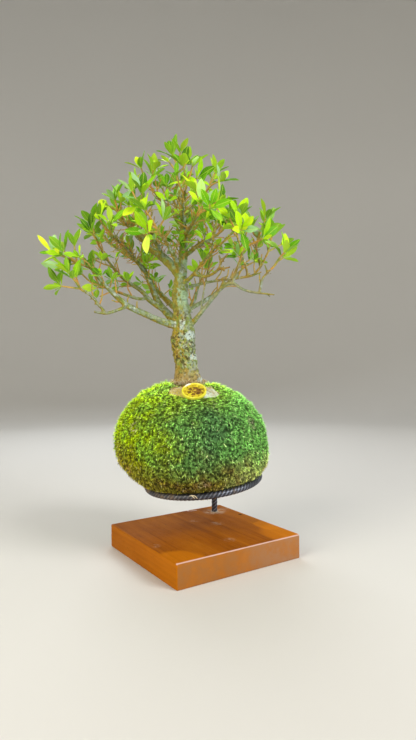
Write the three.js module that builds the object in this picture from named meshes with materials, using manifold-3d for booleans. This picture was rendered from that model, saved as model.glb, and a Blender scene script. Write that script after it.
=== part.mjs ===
// Kokedama: a small bonsai azalea growing out of a moss ball. The ball sits in a ring of ribbed iron bar,
// welded on a short post that stands in a square block of stained wood.
// Millimetres, +Z up. The origin is the centre of the block's underside, and X and Y run along its sides.
// The plant, with its ball, is set out in a frame turned about Z: u is to the right of the plant's front,
// v goes away behind it, and z is up.

import * as THREE from "three";
import { mergeVertices } from "three/addons/utils/BufferGeometryUtils.js";
import Module from "manifold-3d";

const wasm = await Module();
wasm.setup();

const degree = Math.PI / 180;
const gap = 0.3; // between pieces that touch
const sliver = 0.25;

// Wooden block
const blockSide = 150;
const blockThickness = 25;
const blockCornerRadius = 0.8;
const blockEdgeBevel = 1.2;

// Ribbed iron bar, for the post and the ring
const barRadius = 3.15;
const barRibHeight = 0.45;
const barRibStarts = 3;
const barTwistLength = 38; // length of bar in which the ribs go once round

// Ring, welded at its back corner on the post
const ringRadius = 62; // to the middle of the bar
const ringHeight = 76.9;
const ringTilt = 6 * degree; // the ring has sagged, and rises towards +X
const postInset = 24; // from the block's two back sides
const postHoleRadius = 4;
const postHoleDepth = 20;
const weldRadius = 5.4;
const weldHeight = 4;

// The plant's own frame
const plantTurn = -33.2 * degree;

// Moss ball: radius and height of its outline, from the underside up to the crown
const ballCentre = [-11, 8];
const ballOutline = [
  [0, 62], [28, 62.5], [44, 66.5], [60, 75.5], [73, 87], [81, 100], [83.5, 117], [82, 133], [77, 148.3],
  [67.3, 161.3], [53, 172.8], [32, 182], [0, 187.5],
];
const ballFoot = ballOutline[0][1];
const ballHeight = ballOutline.at(-1)[1] - ballFoot;
const ballLeastRadius = 3;
const ballShifts = [[84, 4.5], [118, 0], [152, -1.2], [187, 0]]; // height, and the shift to the right there
const ballSides = 28;
const mossThickness = 9;
const soilSides = 18;

// Bare patch at the crown, where the moss leaves the soil open round the trunk and the cap
const patchCentre = [-6.8, -23.5];
const patchRadii = [27.2, 18.8];
const patchCollarRadius = 18.8; // round the trunk
const patchCutFoot = 130; // a cutter over the patch stands from here
const patchCutHeight = 80;
const crownDip = 1.6; // from the moss down to the bare soil

// Yellow watering cap, on the ball's front shoulder
const capCentre = [-5.9, -37.5, 176.9];
const capTilt = 35 * degree;
const capRadius = 12.7;
const capThickness = 2.4;
const capRimWidth = 1.8;
const capRimHeight = 1.1;
const capRimEase = 0.5;
const capHubRadius = 3.2;
const capUnderside = 1; // of the web between the slots, over the disc's own underside
const capSlots = 6;
const capSlotReach = 7.2; // from the centre to a slot's outer edge
const capSlotTurn = 40.5 * degree;
const capHoles = 9;
const capHoleCircle = 9.3;
const capHoleRadius = 0.9;
const capCutHeight = 12;
const capSocketHeight = 20; // of the clear space over the soil, where the disc lies
const capNeckRadius = 9.4;
const capNeckWall = 1.1;
const capNeckDepth = 12;
const feedDepth = 10;
const moundSpread = 4; // of the clay mound under the cap, past its edge
const moundHeight = 7;

// Root stock, under the crown, in its plain hole in the soil
const rootTop = 186;
const rootDepth = 44;
const rootRadius = 14;
const rootTipRadius = 6;
const rootShoulder = 8; // from its top down to where it tapers
const rootSink = 2; // of its top in the trunk's foot

// The tree: every limb is a line of points [u, v, z, radius] that starts inside the limb it grows from.
// A limb with a spray carries a leafy spray at its end, with that many twigs.
const limbs = [
  {
    name: "stem",
    path: [
      [-14, 12, 184, 16.5], [-15, 12, 193, 14.6], [-16, 12, 206, 12.3], [-18, 12, 220, 12.9],
      [-19, 12, 232, 13.9], [-18, 12, 243, 12.6], [-19, 12, 254, 10.6], [-21, 12, 269, 9.4],
      [-22, 12, 283, 9], [-21, 12, 297, 7.8], [-20, 13, 311, 6.3], [-18, 14, 328, 5.4],
      [-17, 15, 345, 4.6], [-18, 16, 365, 3.8], [-20, 16, 384, 3], [-22, 15, 401, 2.3],
      [-23, 14, 411, 1.8],
    ],
    spray: { twigs: 4 },
  },
  {
    name: "lowLeft", from: "stem", spray: { twigs: 4 },
    path: [
      [-21, 10, 247, 6], [-41, 4, 253, 4], [-71, -10, 266, 3.4], [-82, -16, 273, 3.1],
      [-98, -23, 289, 2.4], [-107, -26, 300, 2], [-112, -28, 306, 1.6], [-121, -30, 310, 1.3],
    ],
  },
  {
    name: "lowLeftStub", from: "lowLeft",
    path: [[-76, -13, 269, 2], [-86, -18, 264, 1.8], [-98, -24, 260, 1.7], [-109, -30, 261, 1.4]],
  },
  {
    name: "bottomLeft", from: "lowLeftStub", spray: { twigs: 4 },
    path: [[-98, -24, 260, 1.6], [-105, -29, 269, 1.6], [-110, -32, 276, 1.5], [-117, -36, 281, 1.3]],
  },
  {
    name: "leftTwin", from: "stem", spray: { twigs: 4 },
    path: [
      [-20, 13, 248, 6], [-29, 16, 255, 5.2], [-38, 20, 265, 4.4], [-49, 24, 280, 3.8],
      [-62, 32, 311, 2.8], [-70, 38, 323, 2.5], [-90, 48, 338, 1.8], [-101, 52, 346, 1.4],
    ],
  },
  {
    name: "leftInner", from: "leftTwin", spray: { twigs: 3 },
    path: [
      [-39, 20, 266, 3.4], [-55, 16, 277, 3], [-65, 12, 288, 2.6], [-86, 4, 303, 2],
      [-101, -2, 322, 1.4], [-106, -4, 331, 1.2],
    ],
  },
  {
    name: "leftBough", from: "leftTwin", spray: { twigs: 3 },
    path: [[-62, 32, 311, 2.4], [-72, 22, 324, 2.1], [-82, 10, 336, 1.8], [-92, -4, 345, 1.4]],
  },
  {
    name: "lowerTwig", from: "leftInner", spray: { twigs: 3 },
    path: [[-58, 15, 280, 2], [-69, 6, 279, 1.9], [-86, -3, 284, 1.7], [-104, 3, 291, 1.3]],
  },
  {
    name: "lowRight", from: "stem",
    path: [
      [-14, 10, 245, 6], [-7, 8, 253, 4], [1, 4, 262, 3.2], [25, -10, 288, 2.7],
      [36, -16, 291, 2.4], [46, -22, 284, 2], [57, -27, 280, 1.9], [78, -36, 276, 1.2],
    ],
  },
  {
    name: "rightShoot", from: "lowRight", spray: { twigs: 3 },
    path: [[1, 4, 262, 1.6], [6, 1, 292, 1.4], [10, -3, 310, 1.3], [15, -12, 336, 1.1]],
  },
  {
    name: "rightFan", from: "lowRight", spray: { twigs: 3 },
    path: [[36, -16, 291, 1.7], [38, -20, 300, 1.6], [42, -25, 311, 1.4], [46, -30, 321, 1.2]],
  },
  {
    name: "farRight", from: "lowRight", spray: { twigs: 3 },
    path: [[63, -29, 279, 1.7], [65, -31, 291, 1.6], [69, -33, 297, 1.4], [74, -35, 302, 1.2]],
  },
  {
    name: "rightRising", from: "stem", spray: { twigs: 4 },
    path: [
      [-20, 10, 291, 4.5], [-15, 6, 297, 3.8], [-7, 0, 303, 3.2], [15, -20, 326, 2.3],
      [25, -32, 331, 1.8], [33, -42, 337, 1.4],
    ],
  },
  {
    name: "bareSpur", from: "rightRising",
    path: [
      [-6, -1, 303, 2], [8, -10, 300, 1.8], [20, -19, 305, 1.7], [23, -22, 313, 1.5],
      [21, -24, 320, 1.2],
    ],
  },
  { name: "bareSpurSide", from: "bareSpur", path: [[23, -22, 312, 1.3], [31, -26, 321, 1.1]] },
  { name: "bareSpurLow", from: "bareSpur", path: [[20, -19, 305, 1.3], [33, -25, 307, 1.1]] },
  {
    name: "rightLevel", from: "stem", spray: { twigs: 4 },
    path: [
      [-19, 14, 290, 3.6], [-5, 20, 295, 2.5], [16, 24, 300, 2.2], [57, 29, 306, 2.1],
      [66, 30, 312, 2.1], [72, 31, 320, 1.8], [76, 31, 328, 1.4],
    ],
  },
  {
    name: "rightLevelUp", from: "rightLevel", spray: { twigs: 4 },
    path: [[70, 31, 317, 1.7], [68, 36, 330, 1.5], [66, 41, 342, 1.3], [68, 46, 350, 1.2]],
  },
  {
    name: "rightLevelTwig", from: "rightLevel", spray: { twigs: 3 },
    path: [[55, 29, 306, 1.7], [53, 26, 316, 1.5], [49, 20, 328, 1.3], [45, 14, 340, 1.2]],
  },
  {
    name: "innerRight", from: "stem", spray: { twigs: 3 },
    path: [[-18, 13, 326, 3], [-10, 8, 330, 2.5], [-2, 4, 336, 2.3], [9, 2, 343, 2], [19, 4, 354, 1.5]],
  },
  {
    name: "upperLeft", from: "stem", spray: { twigs: 4 },
    path: [
      [-21, 14, 302, 5.6], [-31, 20, 317, 5.3], [-45, 26, 331, 5], [-58, 32, 342, 4.2],
      [-68, 40, 355, 3.2], [-74, 46, 364, 2.4], [-78, 50, 372, 1.7],
    ],
  },
  {
    name: "leftShoulder", from: "upperLeft", spray: { twigs: 3 },
    path: [[-58, 32, 342, 2.6], [-68, 20, 352, 2.2], [-77, 9, 358, 1.8], [-84, 0, 367, 1.4]],
  },
  {
    name: "topLeft", from: "stem", spray: { twigs: 4 },
    path: [[-18, 16, 362, 2.8], [-30, 12, 376, 2.4], [-41, 8, 387, 1.9], [-49, 6, 397, 1.5]],
  },
  {
    name: "topRight", from: "stem", spray: { twigs: 3 },
    path: [[-18, 16, 368, 2.6], [-8, 13, 380, 2.1], [0, 12, 388, 1.7], [5, 12, 394, 1.4]],
  },
  {
    name: "frontLeft", from: "stem", spray: { twigs: 4 },
    path: [[-20, 13, 309, 3.4], [-27, -8, 322, 2.6], [-33, -28, 332, 2], [-38, -44, 337, 1.5]],
  },
  {
    name: "frontRight", from: "stem", spray: { twigs: 4 },
    path: [[-18, 14, 334, 3], [-14, -6, 344, 2.4], [-6, -26, 352, 1.9], [0, -42, 356, 1.4]],
  },
  {
    name: "frontCentre", from: "stem", spray: { twigs: 3 },
    path: [[-18, 16, 356, 2.6], [-18, 0, 368, 2.2], [-16, -16, 379, 1.7], [-13, -28, 387, 1.4]],
  },
  {
    name: "frontMid", from: "upperLeft", spray: { twigs: 3 },
    path: [[-40, 24, 326, 3], [-48, 4, 340, 2.4], [-54, -14, 352, 1.9], [-58, -30, 361, 1.4]],
  },
  {
    name: "backLow", from: "stem", spray: { twigs: 3 },
    path: [
      [-20, 14, 258, 5], [-14, 38, 268, 3.6], [-8, 62, 282, 2.8], [-4, 84, 299, 2],
      [0, 98, 312, 1.5],
    ],
  },
  {
    name: "backLeft", from: "stem", spray: { twigs: 3 },
    path: [
      [-21, 13, 264, 5], [-36, 40, 278, 3.6], [-50, 62, 294, 2.8], [-60, 80, 310, 2],
      [-68, 92, 322, 1.5],
    ],
  },
  {
    name: "backRight", from: "backLow", spray: { twigs: 3 },
    path: [[-13, 42, 270, 3], [6, 54, 282, 2.6], [24, 66, 296, 2.2], [38, 76, 310, 1.8], [48, 83, 320, 1.4]],
  },
  {
    name: "backUpper", from: "stem", spray: { twigs: 3 },
    path: [[-18, 14, 330, 3.4], [-16, 36, 342, 2.6], [-14, 56, 354, 2], [-12, 70, 363, 1.5]],
  },
  {
    name: "backTop", from: "stem", spray: { twigs: 3 },
    path: [[-18, 16, 360, 2.8], [-22, 32, 376, 2.2], [-26, 44, 390, 1.7], [-30, 50, 399, 1.4]],
  },
  {
    name: "backShoulder", from: "innerRight", spray: { twigs: 3 },
    path: [[-4, 5, 335, 2.2], [10, 24, 346, 1.9], [19, 38, 354, 1.6], [25, 46, 361, 1.3]],
  },
];
const stemSides = 9;
const limbSides = [[2.6, 5], [0, 4]]; // least radius at the limb's root, and sides

// Sprays: each twig ends in a knob, with a rosette of leaves round it
const forkDistance = [5, 8]; // from the limb's end to where the twigs part
const forkRadius = 1.2;
const twigRadius = 0.85;
const twigReach = [12, 24];
const twigSpread = [38 * degree, 72 * degree];
const leaderSpread = [5 * degree, 32 * degree];
const upwardPull = 0.4;
const knobRadius = 1.1;
const knobHeight = 1.2;
const budHeight = 1;
const leavesPerRosette = [4, 5];
const leafLength = [16, 24];
const leafWidth = 0.42; // share of the length
const leafStations = [[0.36, 0.76], [0.72, 1]]; // share of the length, and of the half width there
const leafThickness = 1.1; // along the midrib
const leafFold = 0.3; // how far the two halves rise from the midrib, as a share of the half width
const leafSpread = [40 * degree, 76 * degree]; // from the twig
const leafCurl = [0.02, 0.2];
const goldenAngle = 137.5 * degree;
const ballSpacing = 4; // along a limb
const budBallDistances = [3, 6]; // past a limb's end
const twigBallRadius = 1.2;
const ribBallRadius = 0.9;
const bladeBallRadius = 0.26; // share of the leaf's half width
const ribBallPlaces = [0.25, 0.45, 0.65, 0.85, 1]; // shares of the leaf's length
const bladeBallPlaces = [[0.32, 0.4], [0.48, 0.75], [0.64, 0.5], [0.76, 0.85], [0.9, 0.4]];
const turnShake = 0.6;
const leafRoom = 0.92; // share of its own turn round the twig that a leaf may fill
const clearance = 0.9;
const tries = 12;
const plantSeed = 63;

// Solids and geometries

function asSolid(geometry) {
  const bare = geometry.clone();
  bare.deleteAttribute("normal");
  bare.deleteAttribute("uv");
  const merged = mergeVertices(bare, 1e-4);
  return new wasm.Manifold(new wasm.Mesh({
    numProp: 3,
    vertProperties: new Float32Array(merged.attributes.position.array),
    triVerts: new Uint32Array(merged.index.array),
  }));
}

function asGeometry(solid) {
  const mesh = solid.getMesh();
  const geometry = new THREE.BufferGeometry();
  geometry.setAttribute("position", new THREE.BufferAttribute(mesh.vertProperties, 3));
  geometry.setIndex(new THREE.BufferAttribute(mesh.triVerts, 1));
  geometry.computeVertexNormals();
  return geometry;
}

// Joins solids, and drops the slivers that this leaves along their seams
function joined(solids) {
  return wasm.Manifold.union(solids).simplify(sliver);
}

function moved(geometry, matrix) {
  return geometry.clone().applyMatrix4(matrix);
}

// A closed surface through rows of points, each row a closed ring with the same count.
// A tube gets a fan at each end, and a loop joins its last row to its first.
function surfaceThrough(rows, isLoop = false) {
  const count = rows[0].length;
  const positions = rows.flat().flatMap((p) => [p.x, p.y, p.z]);
  const index = [];
  const bands = isLoop ? rows.length : rows.length - 1;
  for (let row = 0; row < bands; row++) {
    const here = row * count;
    const next = ((row + 1) % rows.length) * count;
    for (let side = 0; side < count; side++) {
      const beside = (side + 1) % count;
      index.push(here + side, here + beside, next + beside);
      index.push(here + side, next + beside, next + side);
    }
  }
  if (!isLoop) {
    const last = (rows.length - 1) * count;
    for (let side = 1; side < count - 1; side++) {
      index.push(0, side + 1, side);
      index.push(last, last + side, last + side + 1);
    }
  }
  const geometry = new THREE.BufferGeometry();
  geometry.setAttribute("position", new THREE.Float32BufferAttribute(positions, 3));
  geometry.setIndex(index);
  return geometry;
}

// A tube of changing radius along a line of [x, y, z, radius]
function taperedTube(path, sides, relief = () => 1) {
  const points = path.map(([x, y, z]) => new THREE.Vector3(x, y, z));
  let across = new THREE.Vector3(1, 0.3, 0.1);
  const rows = points.map((point, i) => {
    const before = points[Math.max(i - 1, 0)];
    const after = points[Math.min(i + 1, points.length - 1)];
    const along = after.clone().sub(before).normalize();
    across = across.clone().addScaledVector(along, -across.dot(along)).normalize();
    const other = along.clone().cross(across);
    return Array.from({ length: sides }, (_, side) => {
      const angle = (side / sides) * 2 * Math.PI;
      const radius = path[i][3] * relief(angle, i);
      return point.clone()
        .addScaledVector(across, radius * Math.cos(angle))
        .addScaledVector(other, radius * Math.sin(angle));
    });
  });
  return surfaceThrough(rows);
}

// Stand

function woodenBlock() {
  const half = blockSide / 2 - blockEdgeBevel;
  const corner = blockCornerRadius;
  const outline = new THREE.Shape();
  outline.moveTo(-half + corner, -half);
  outline.lineTo(half - corner, -half);
  outline.absarc(half - corner, -half + corner, corner, -Math.PI / 2, 0);
  outline.lineTo(half, half - corner);
  outline.absarc(half - corner, half - corner, corner, 0, Math.PI / 2);
  outline.lineTo(-half + corner, half);
  outline.absarc(-half + corner, half - corner, corner, Math.PI / 2, Math.PI);
  outline.lineTo(-half, -half + corner);
  outline.absarc(-half + corner, -half + corner, corner, Math.PI, Math.PI * 1.5);
  const board = new THREE.ExtrudeGeometry(outline, {
    depth: blockThickness - 2 * blockEdgeBevel,
    bevelThickness: blockEdgeBevel,
    bevelSize: blockEdgeBevel,
    bevelSegments: 1,
    curveSegments: 2,
  }).translate(0, 0, blockEdgeBevel);
  const hole = new THREE.CylinderGeometry(postHoleRadius, postHoleRadius, postHoleDepth + 1, 12)
    .rotateX(Math.PI / 2)
    .translate(postPlace.x, postPlace.y, blockThickness - postHoleDepth / 2 + 0.5);
  return asSolid(board).subtract(asSolid(hole));
}

const postPlace = new THREE.Vector2(blockSide / 2 - postInset, blockSide / 2 - postInset);
const ringCentre = new THREE.Vector3(
  postPlace.x - ringRadius * Math.SQRT1_2,
  postPlace.y - ringRadius * Math.SQRT1_2,
  ringHeight,
);
const ringPlace = new THREE.Matrix4()
  .makeRotationY(-ringTilt)
  .setPosition(ringCentre);

// The bar's cross-section at some length along it: the ribs wind round as it goes
function barSection(length, steps) {
  const turn = (length / barTwistLength) * 2 * Math.PI;
  return Array.from({ length: steps }, (_, step) => {
    const angle = (step / steps) * 2 * Math.PI;
    const rib = 0.5 + 0.5 * Math.cos(barRibStarts * angle);
    const radius = barRadius - 0.1 + (barRibHeight + 0.1) * rib;
    return [radius * Math.cos(angle + turn), radius * Math.sin(angle + turn)];
  });
}

function ribbedRing() {
  const steps = 64;
  const around = 2 * Math.PI * ringRadius;
  const turns = Math.round(around / barTwistLength);
  const rows = Array.from({ length: steps }, (_, step) => {
    const angle = (step / steps) * 2 * Math.PI;
    const length = (step / steps) * turns * barTwistLength;
    return barSection(length, 2 * barRibStarts).map(([out, up]) => new THREE.Vector3(
      (ringRadius + out) * Math.cos(angle),
      (ringRadius + out) * Math.sin(angle),
      up,
    ));
  });
  const loop = surfaceThrough(rows, true);
  loop.index.array.reverse();
  return asSolid(moved(loop, ringPlace));
}

// A plain torus round the ring's bar, to cut the pieces that the ring touches
function ringClearance(extra) {
  const sides = 8;
  const radius = (barRadius + barRibHeight + extra) / Math.cos(Math.PI / sides);
  return asSolid(moved(new THREE.TorusGeometry(ringRadius, radius, sides, 48), ringPlace));
}

// What the ball's pieces leave free round the ring and its weld
function standClearance(plantToPart) {
  const height = 40;
  const weld = new THREE.CylinderGeometry(weldRadius + gap, weldRadius + gap, height, 12)
    .rotateX(Math.PI / 2)
    .translate(postPlace.x, postPlace.y, ringHeightAtPost - height / 2);
  return ringClearance(gap + 0.15).add(asSolid(weld)).transform(plantToPart.clone().invert().elements);
}

const ringHeightAtPost = ringCentre.z + (postPlace.x - ringCentre.x) * Math.tan(ringTilt);

function post() {
  const bottom = blockThickness - postHoleDepth + gap;
  const top = ringHeightAtPost;
  const steps = 14;
  const rows = Array.from({ length: steps + 1 }, (_, step) => {
    const length = (step / steps) * (top - bottom);
    return barSection(length, 2 * barRibStarts).map(([x, y]) => new THREE.Vector3(
      postPlace.x + x, postPlace.y + y, bottom + length,
    ));
  });
  return asSolid(surfaceThrough(rows)).subtract(ringClearance(gap));
}

// The weld is a collar round the post's end, up against the ring's bar
function weldBead() {
  const inner = barRadius + barRibHeight + gap + 0.1;
  const foot = ringHeightAtPost - barRadius - weldHeight;
  const profile = [
    [inner, foot], [inner + 0.6, foot - 0.4], [weldRadius, foot + 1.6], [weldRadius, foot + weldHeight],
    [weldRadius - 0.8, foot + weldHeight + 1], [inner, foot + weldHeight + 1],
    [inner, foot],
  ].map(([x, y]) => new THREE.Vector2(x, y));
  const collar = new THREE.LatheGeometry(profile, 12)
    .rotateX(Math.PI / 2)
    .translate(postPlace.x, postPlace.y, 0);
  return largest(asSolid(collar).subtract(ringClearance(gap)));
}

function largest(solid) {
  return solid.decompose().sort((a, b) => b.volume() - a.volume())[0];
}

// Moss ball and soil

// The ball's outline at a height, as a radius that swells and dips round the ball
function swell(angle, height) {
  const share = (height - ballFoot) / ballHeight;
  const waist = Math.sin(Math.PI * Math.min(Math.max(share, 0), 1));
  return 1 + waist * (
    0.011 * Math.sin(3 * angle + 0.6) + 0.009 * Math.sin(5 * angle + 2.1 + 2 * share)
    + 0.006 * Math.sin(9 * angle + 7 * share) + 0.004 * Math.sin(13 * angle - 9 * share)
  );
}

// How far the ball has moved to the right at a height, where it has slipped in the ring
function shiftAt(height) {
  const above = ballShifts.findIndex(([level]) => level >= height);
  if (above < 1) return above === 0 ? ballShifts[0][1] : ballShifts.at(-1)[1];
  const [[low, from], [high, to]] = [ballShifts[above - 1], ballShifts[above]];
  return from + (to - from) * (height - low) / (high - low);
}

function ballBody(outline, sides, inset) {
  const rows = outline.slice(1, -1).map(([radius, height], row) => {
    const [before, after] = [outline[row], outline[row + 2]];
    const slope = new THREE.Vector2(after[0] - before[0], after[1] - before[1]).normalize();
    return Array.from({ length: sides }, (_, side) => {
      const angle = (side / sides) * 2 * Math.PI;
      const out = Math.max((radius - inset * slope.y) * swell(angle, height), ballLeastRadius);
      return new THREE.Vector3(
        ballCentre[0] + shiftAt(height) + out * Math.cos(angle),
        ballCentre[1] + out * Math.sin(angle),
        height + inset * slope.x,
      );
    });
  });
  return asSolid(surfaceThrough(rows));
}

// Upright cutter over the bare patch, grown or shrunk by an amount
function patchCutter(extra) {
  const outline = new THREE.Shape();
  outline.absellipse(
    patchCentre[0], patchCentre[1], patchRadii[0] + extra, patchRadii[1] + extra, 0, 2 * Math.PI,
  );
  const upright = { depth: patchCutHeight, bevelEnabled: false, curveSegments: 12 };
  const patch = new THREE.ExtrudeGeometry(outline, upright).translate(0, 0, patchCutFoot);
  const [u, v] = limbs[0].path[0];
  const collar = new THREE.CylinderGeometry(
    patchCollarRadius + extra, patchCollarRadius + extra, patchCutHeight, 20,
  ).rotateX(Math.PI / 2).translate(u, v, patchCutFoot + patchCutHeight / 2);
  return asSolid(patch).add(asSolid(collar));
}

// The root stock's shape, grown by an amount for its hole
function rootShape(extra) {
  const [u, v, , footRadius] = limbs[0].path[0];
  const profile = [
    [0, rootTop - rootDepth - extra],
    [rootTipRadius + extra, rootTop - rootDepth - extra],
    [rootRadius + extra, rootTop - rootShoulder],
    [footRadius + extra, rootTop - rootSink - extra],
  ];
  const holeTop = patchCutFoot + patchCutHeight;
  if (extra > 0) profile.push([footRadius + extra, holeTop], [0, holeTop]);
  else profile.push([0, rootTop - rootSink]);
  const points = profile.map(([x, y]) => new THREE.Vector2(x, y));
  return asSolid(new THREE.LatheGeometry(points, 14).rotateX(Math.PI / 2).translate(u, v, 0));
}

const capPlace = new THREE.Matrix4().makeRotationX(capTilt).setPosition(...capCentre);

// Socket for the cap: its disc lies on the soil, and its neck goes in
function capSocket() {
  const disc = new THREE.CylinderGeometry(capRadius + gap, capRadius + gap, capSocketHeight, 24)
    .rotateX(Math.PI / 2).translate(0, 0, capSocketHeight / 2 - gap);
  const neck = new THREE.CylinderGeometry(
    capNeckRadius + gap, capNeckRadius + gap, capNeckDepth + 2 * gap, 16,
  ).rotateX(Math.PI / 2).translate(0, 0, -capNeckDepth / 2);
  return asSolid(moved(disc, capPlace)).add(asSolid(moved(neck, capPlace)));
}

// Clay pressed up under the cap's disc
function capMound() {
  const mound = new THREE.CylinderGeometry(capRadius, capRadius + moundSpread, moundHeight, 24)
    .rotateX(Math.PI / 2)
    .translate(0, 0, -moundHeight / 2);
  return asSolid(moved(mound, capPlace));
}

function mossWrap(plantToPart) {
  const outer = ballBody(ballOutline, ballSides, 0);
  const inner = ballBody(ballOutline, soilSides, mossThickness);
  return largest(
    outer.subtract(inner)
      .subtract(patchCutter(0))
      .subtract(standClearance(plantToPart))
      .subtract(capSocket()),
  ).simplify(sliver);
}

function soilBall(plantToPart) {
  const core = ballBody(ballOutline, soilSides, mossThickness + gap + 0.3);
  const crown = ballBody(ballOutline, ballSides, crownDip)
    .add(capMound())
    .intersect(patchCutter(-gap));
  return largest(
    core.add(crown)
      .subtract(rootShape(gap))
      .subtract(capSocket())
      .subtract(standClearance(plantToPart)),
  ).simplify(sliver);
}

// Watering cap

// A curved slot between two radii, as a closed prism through the disc
function slot(innerRadius, outerRadius, start, end, steps) {
  const outline = new THREE.Shape();
  outline.absarc(0, 0, outerRadius, start, end, false);
  outline.absarc(0, 0, innerRadius, end, start, true);
  const upright = { depth: capCutHeight, bevelEnabled: false, curveSegments: steps };
  return new THREE.ExtrudeGeometry(outline, upright).translate(0, 0, -capCutHeight / 3);
}

function wateringCap() {
  const rimInner = capRadius - capRimWidth;
  const top = capThickness;
  const neckInner = capNeckRadius - capNeckWall;
  const profile = [
    [0, capUnderside], [neckInner, capUnderside], [neckInner, -capNeckDepth],
    [capNeckRadius, -capNeckDepth], [capNeckRadius, 0], [capRadius, 0],
    [capRadius, top + capRimHeight - capRimEase], [capRadius - capRimEase, top + capRimHeight],
    [rimInner + capRimEase, top + capRimHeight], [rimInner, top], [0, top],
  ].map(([x, y]) => new THREE.Vector2(x, y));
  let cap = asSolid(new THREE.LatheGeometry(profile, 24).rotateX(Math.PI / 2));
  const slots = [];
  for (let i = 0; i < capSlots; i++) {
    const start = (i / capSlots) * 2 * Math.PI;
    slots.push(asSolid(slot(capHubRadius, capSlotReach, start, start + capSlotTurn, 3)));
  }
  for (let i = 0; i < capHoles; i++) {
    const angle = ((i + 0.5) / capHoles) * 2 * Math.PI;
    const hole = new THREE.CylinderGeometry(capHoleRadius, capHoleRadius, capCutHeight, 5)
      .rotateX(Math.PI / 2)
      .translate(capHoleCircle * Math.cos(angle), capHoleCircle * Math.sin(angle), 0);
    slots.push(asSolid(hole));
  }
  return cap.subtract(wasm.Manifold.union(slots)).transform(capPlace.elements);
}

// Brown plant feed that fills the cap's neck
function feedPlug() {
  const radius = capNeckRadius - capNeckWall - gap;
  const plug = new THREE.CylinderGeometry(radius, radius, feedDepth, 16)
    .rotateX(Math.PI / 2)
    .translate(0, 0, capUnderside - gap - feedDepth / 2);
  return asSolid(moved(plug, capPlace));
}

// Tree

// Repeatable random numbers from 0 to 1
function randomFrom(seed) {
  let state = seed >>> 0;
  return () => {
    state = (state + 0x6d2b79f5) >>> 0;
    let mixed = Math.imul(state ^ (state >>> 15), state | 1);
    mixed = (mixed + Math.imul(mixed ^ (mixed >>> 7), mixed | 61)) ^ mixed;
    return ((mixed ^ (mixed >>> 14)) >>> 0) / 4294967296;
  };
}

function between(random, [low, high]) {
  return low + (high - low) * random();
}

// Puts each limb's first point on the centre line of the limb that it grows from
function rootLimbs() {
  for (const limb of limbs) {
    if (!limb.from) continue;
    const parent = limbs.find(({ name }) => name === limb.from);
    const start = new THREE.Vector3(...limb.path[0].slice(0, 3));
    let best = null;
    for (let i = 1; i < parent.path.length; i++) {
      const line = new THREE.Line3(
        new THREE.Vector3(...parent.path[i - 1].slice(0, 3)),
        new THREE.Vector3(...parent.path[i].slice(0, 3)),
      );
      const near = line.closestPointToPoint(start, true, new THREE.Vector3());
      const distance = near.distanceTo(start);
      if (!best || distance < best.distance) best = { near, distance };
    }
    limb.path[0] = [best.near.x, best.near.y, best.near.z, limb.path[0][3]];
  }
}

// Bark swells into burls on the old stem, and is smoother on the limbs
function burl(angle, row) {
  return 1 + 0.05 * Math.sin(3 * angle + row) + 0.035 * Math.sin(2 * angle - 1.7 * row);
}

function trunk() {
  const tubes = limbs.map(({ from, path }) => {
    const sides = limbSides.find(([radius]) => path[0][3] >= radius)[1];
    return asSolid(from ? taperedTube(path, sides) : taperedTube(path, stemSides, burl));
  });
  return joined([rootShape(0), ...tubes]);
}

// Balls that stand for what has grown so far, so that sprays grow clear of it
const taken = [];

function limbBalls() {
  for (const { path, spray } of limbs) {
    if (spray) taken.push(...budBalls(path));
    for (let i = 1; i < path.length; i++) {
      const [a, b] = [path[i - 1], path[i]];
      const length = Math.hypot(b[0] - a[0], b[1] - a[1], b[2] - a[2]);
      const steps = Math.ceil(length / ballSpacing);
      for (let step = i === 1 ? 0 : 1; step <= steps; step++) {
        const at = a.map((value, axis) => value + (b[axis] - value) * (step / steps));
        taken.push({ x: at[0], y: at[1], z: at[2], r: at[3] });
      }
    }
  }
}

// The first stretch of a spray, past its limb's end
function budBalls(path) {
  const end = new THREE.Vector3(...path.at(-1).slice(0, 3));
  const along = end.clone().sub(new THREE.Vector3(...path.at(-2).slice(0, 3))).normalize();
  return budBallDistances.map((distance) => ball(end.clone().addScaledVector(along, distance), forkRadius));
}

function isFree(balls) {
  return balls.every((ball) => taken.every((other) => (
    Math.hypot(ball.x - other.x, ball.y - other.y, ball.z - other.z) > ball.r + other.r + clearance
  )));
}

function ball(point, radius) {
  return { x: point.x, y: point.y, z: point.z, r: radius };
}

// Two directions across a third
function acrossFrom(along) {
  const side = new THREE.Vector3(-along.y, along.x, 0);
  if (side.length() < 0.1) side.set(1, 0, 0);
  side.normalize();
  return [side, along.clone().cross(side)];
}

function outward([side, other], turn) {
  return side.clone().multiplyScalar(Math.cos(turn)).addScaledVector(other, Math.sin(turn));
}

// A direction that leans away from another
function leaning(along, out, angle) {
  return along.clone().multiplyScalar(Math.cos(angle)).addScaledVector(out, Math.sin(angle));
}

// A leaf's middle line bends back as it goes
function leafMiddle(leaf, share) {
  return leaf.base.clone()
    .addScaledVector(leaf.along, leaf.length * share)
    .addScaledVector(leaf.up, -leaf.curl * leaf.length * share * share);
}

function leafPoint(leaf, share, width, lift) {
  const side = leaf.up.clone().cross(leaf.along);
  return leafMiddle(leaf, share)
    .addScaledVector(side, width * leaf.half)
    .addScaledVector(leaf.up, Math.abs(width) * leafFold * leaf.half + lift);
}

function tubeBalls(from, to) {
  return [0.5, 0.75, 1].map((share) => ball(from.clone().lerp(to, share), twigBallRadius));
}

function leafBalls(leaf) {
  const rib = ribBallPlaces.map((share) => ball(leafMiddle(leaf, share), ribBallRadius));
  const blade = bladeBallPlaces.flatMap(([share, width]) => [-width, width].map((place) => (
    ball(leafPoint(leaf, share, place, 0), bladeBallRadius * leaf.half)
  )));
  return [...rib, ...blade];
}

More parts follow.
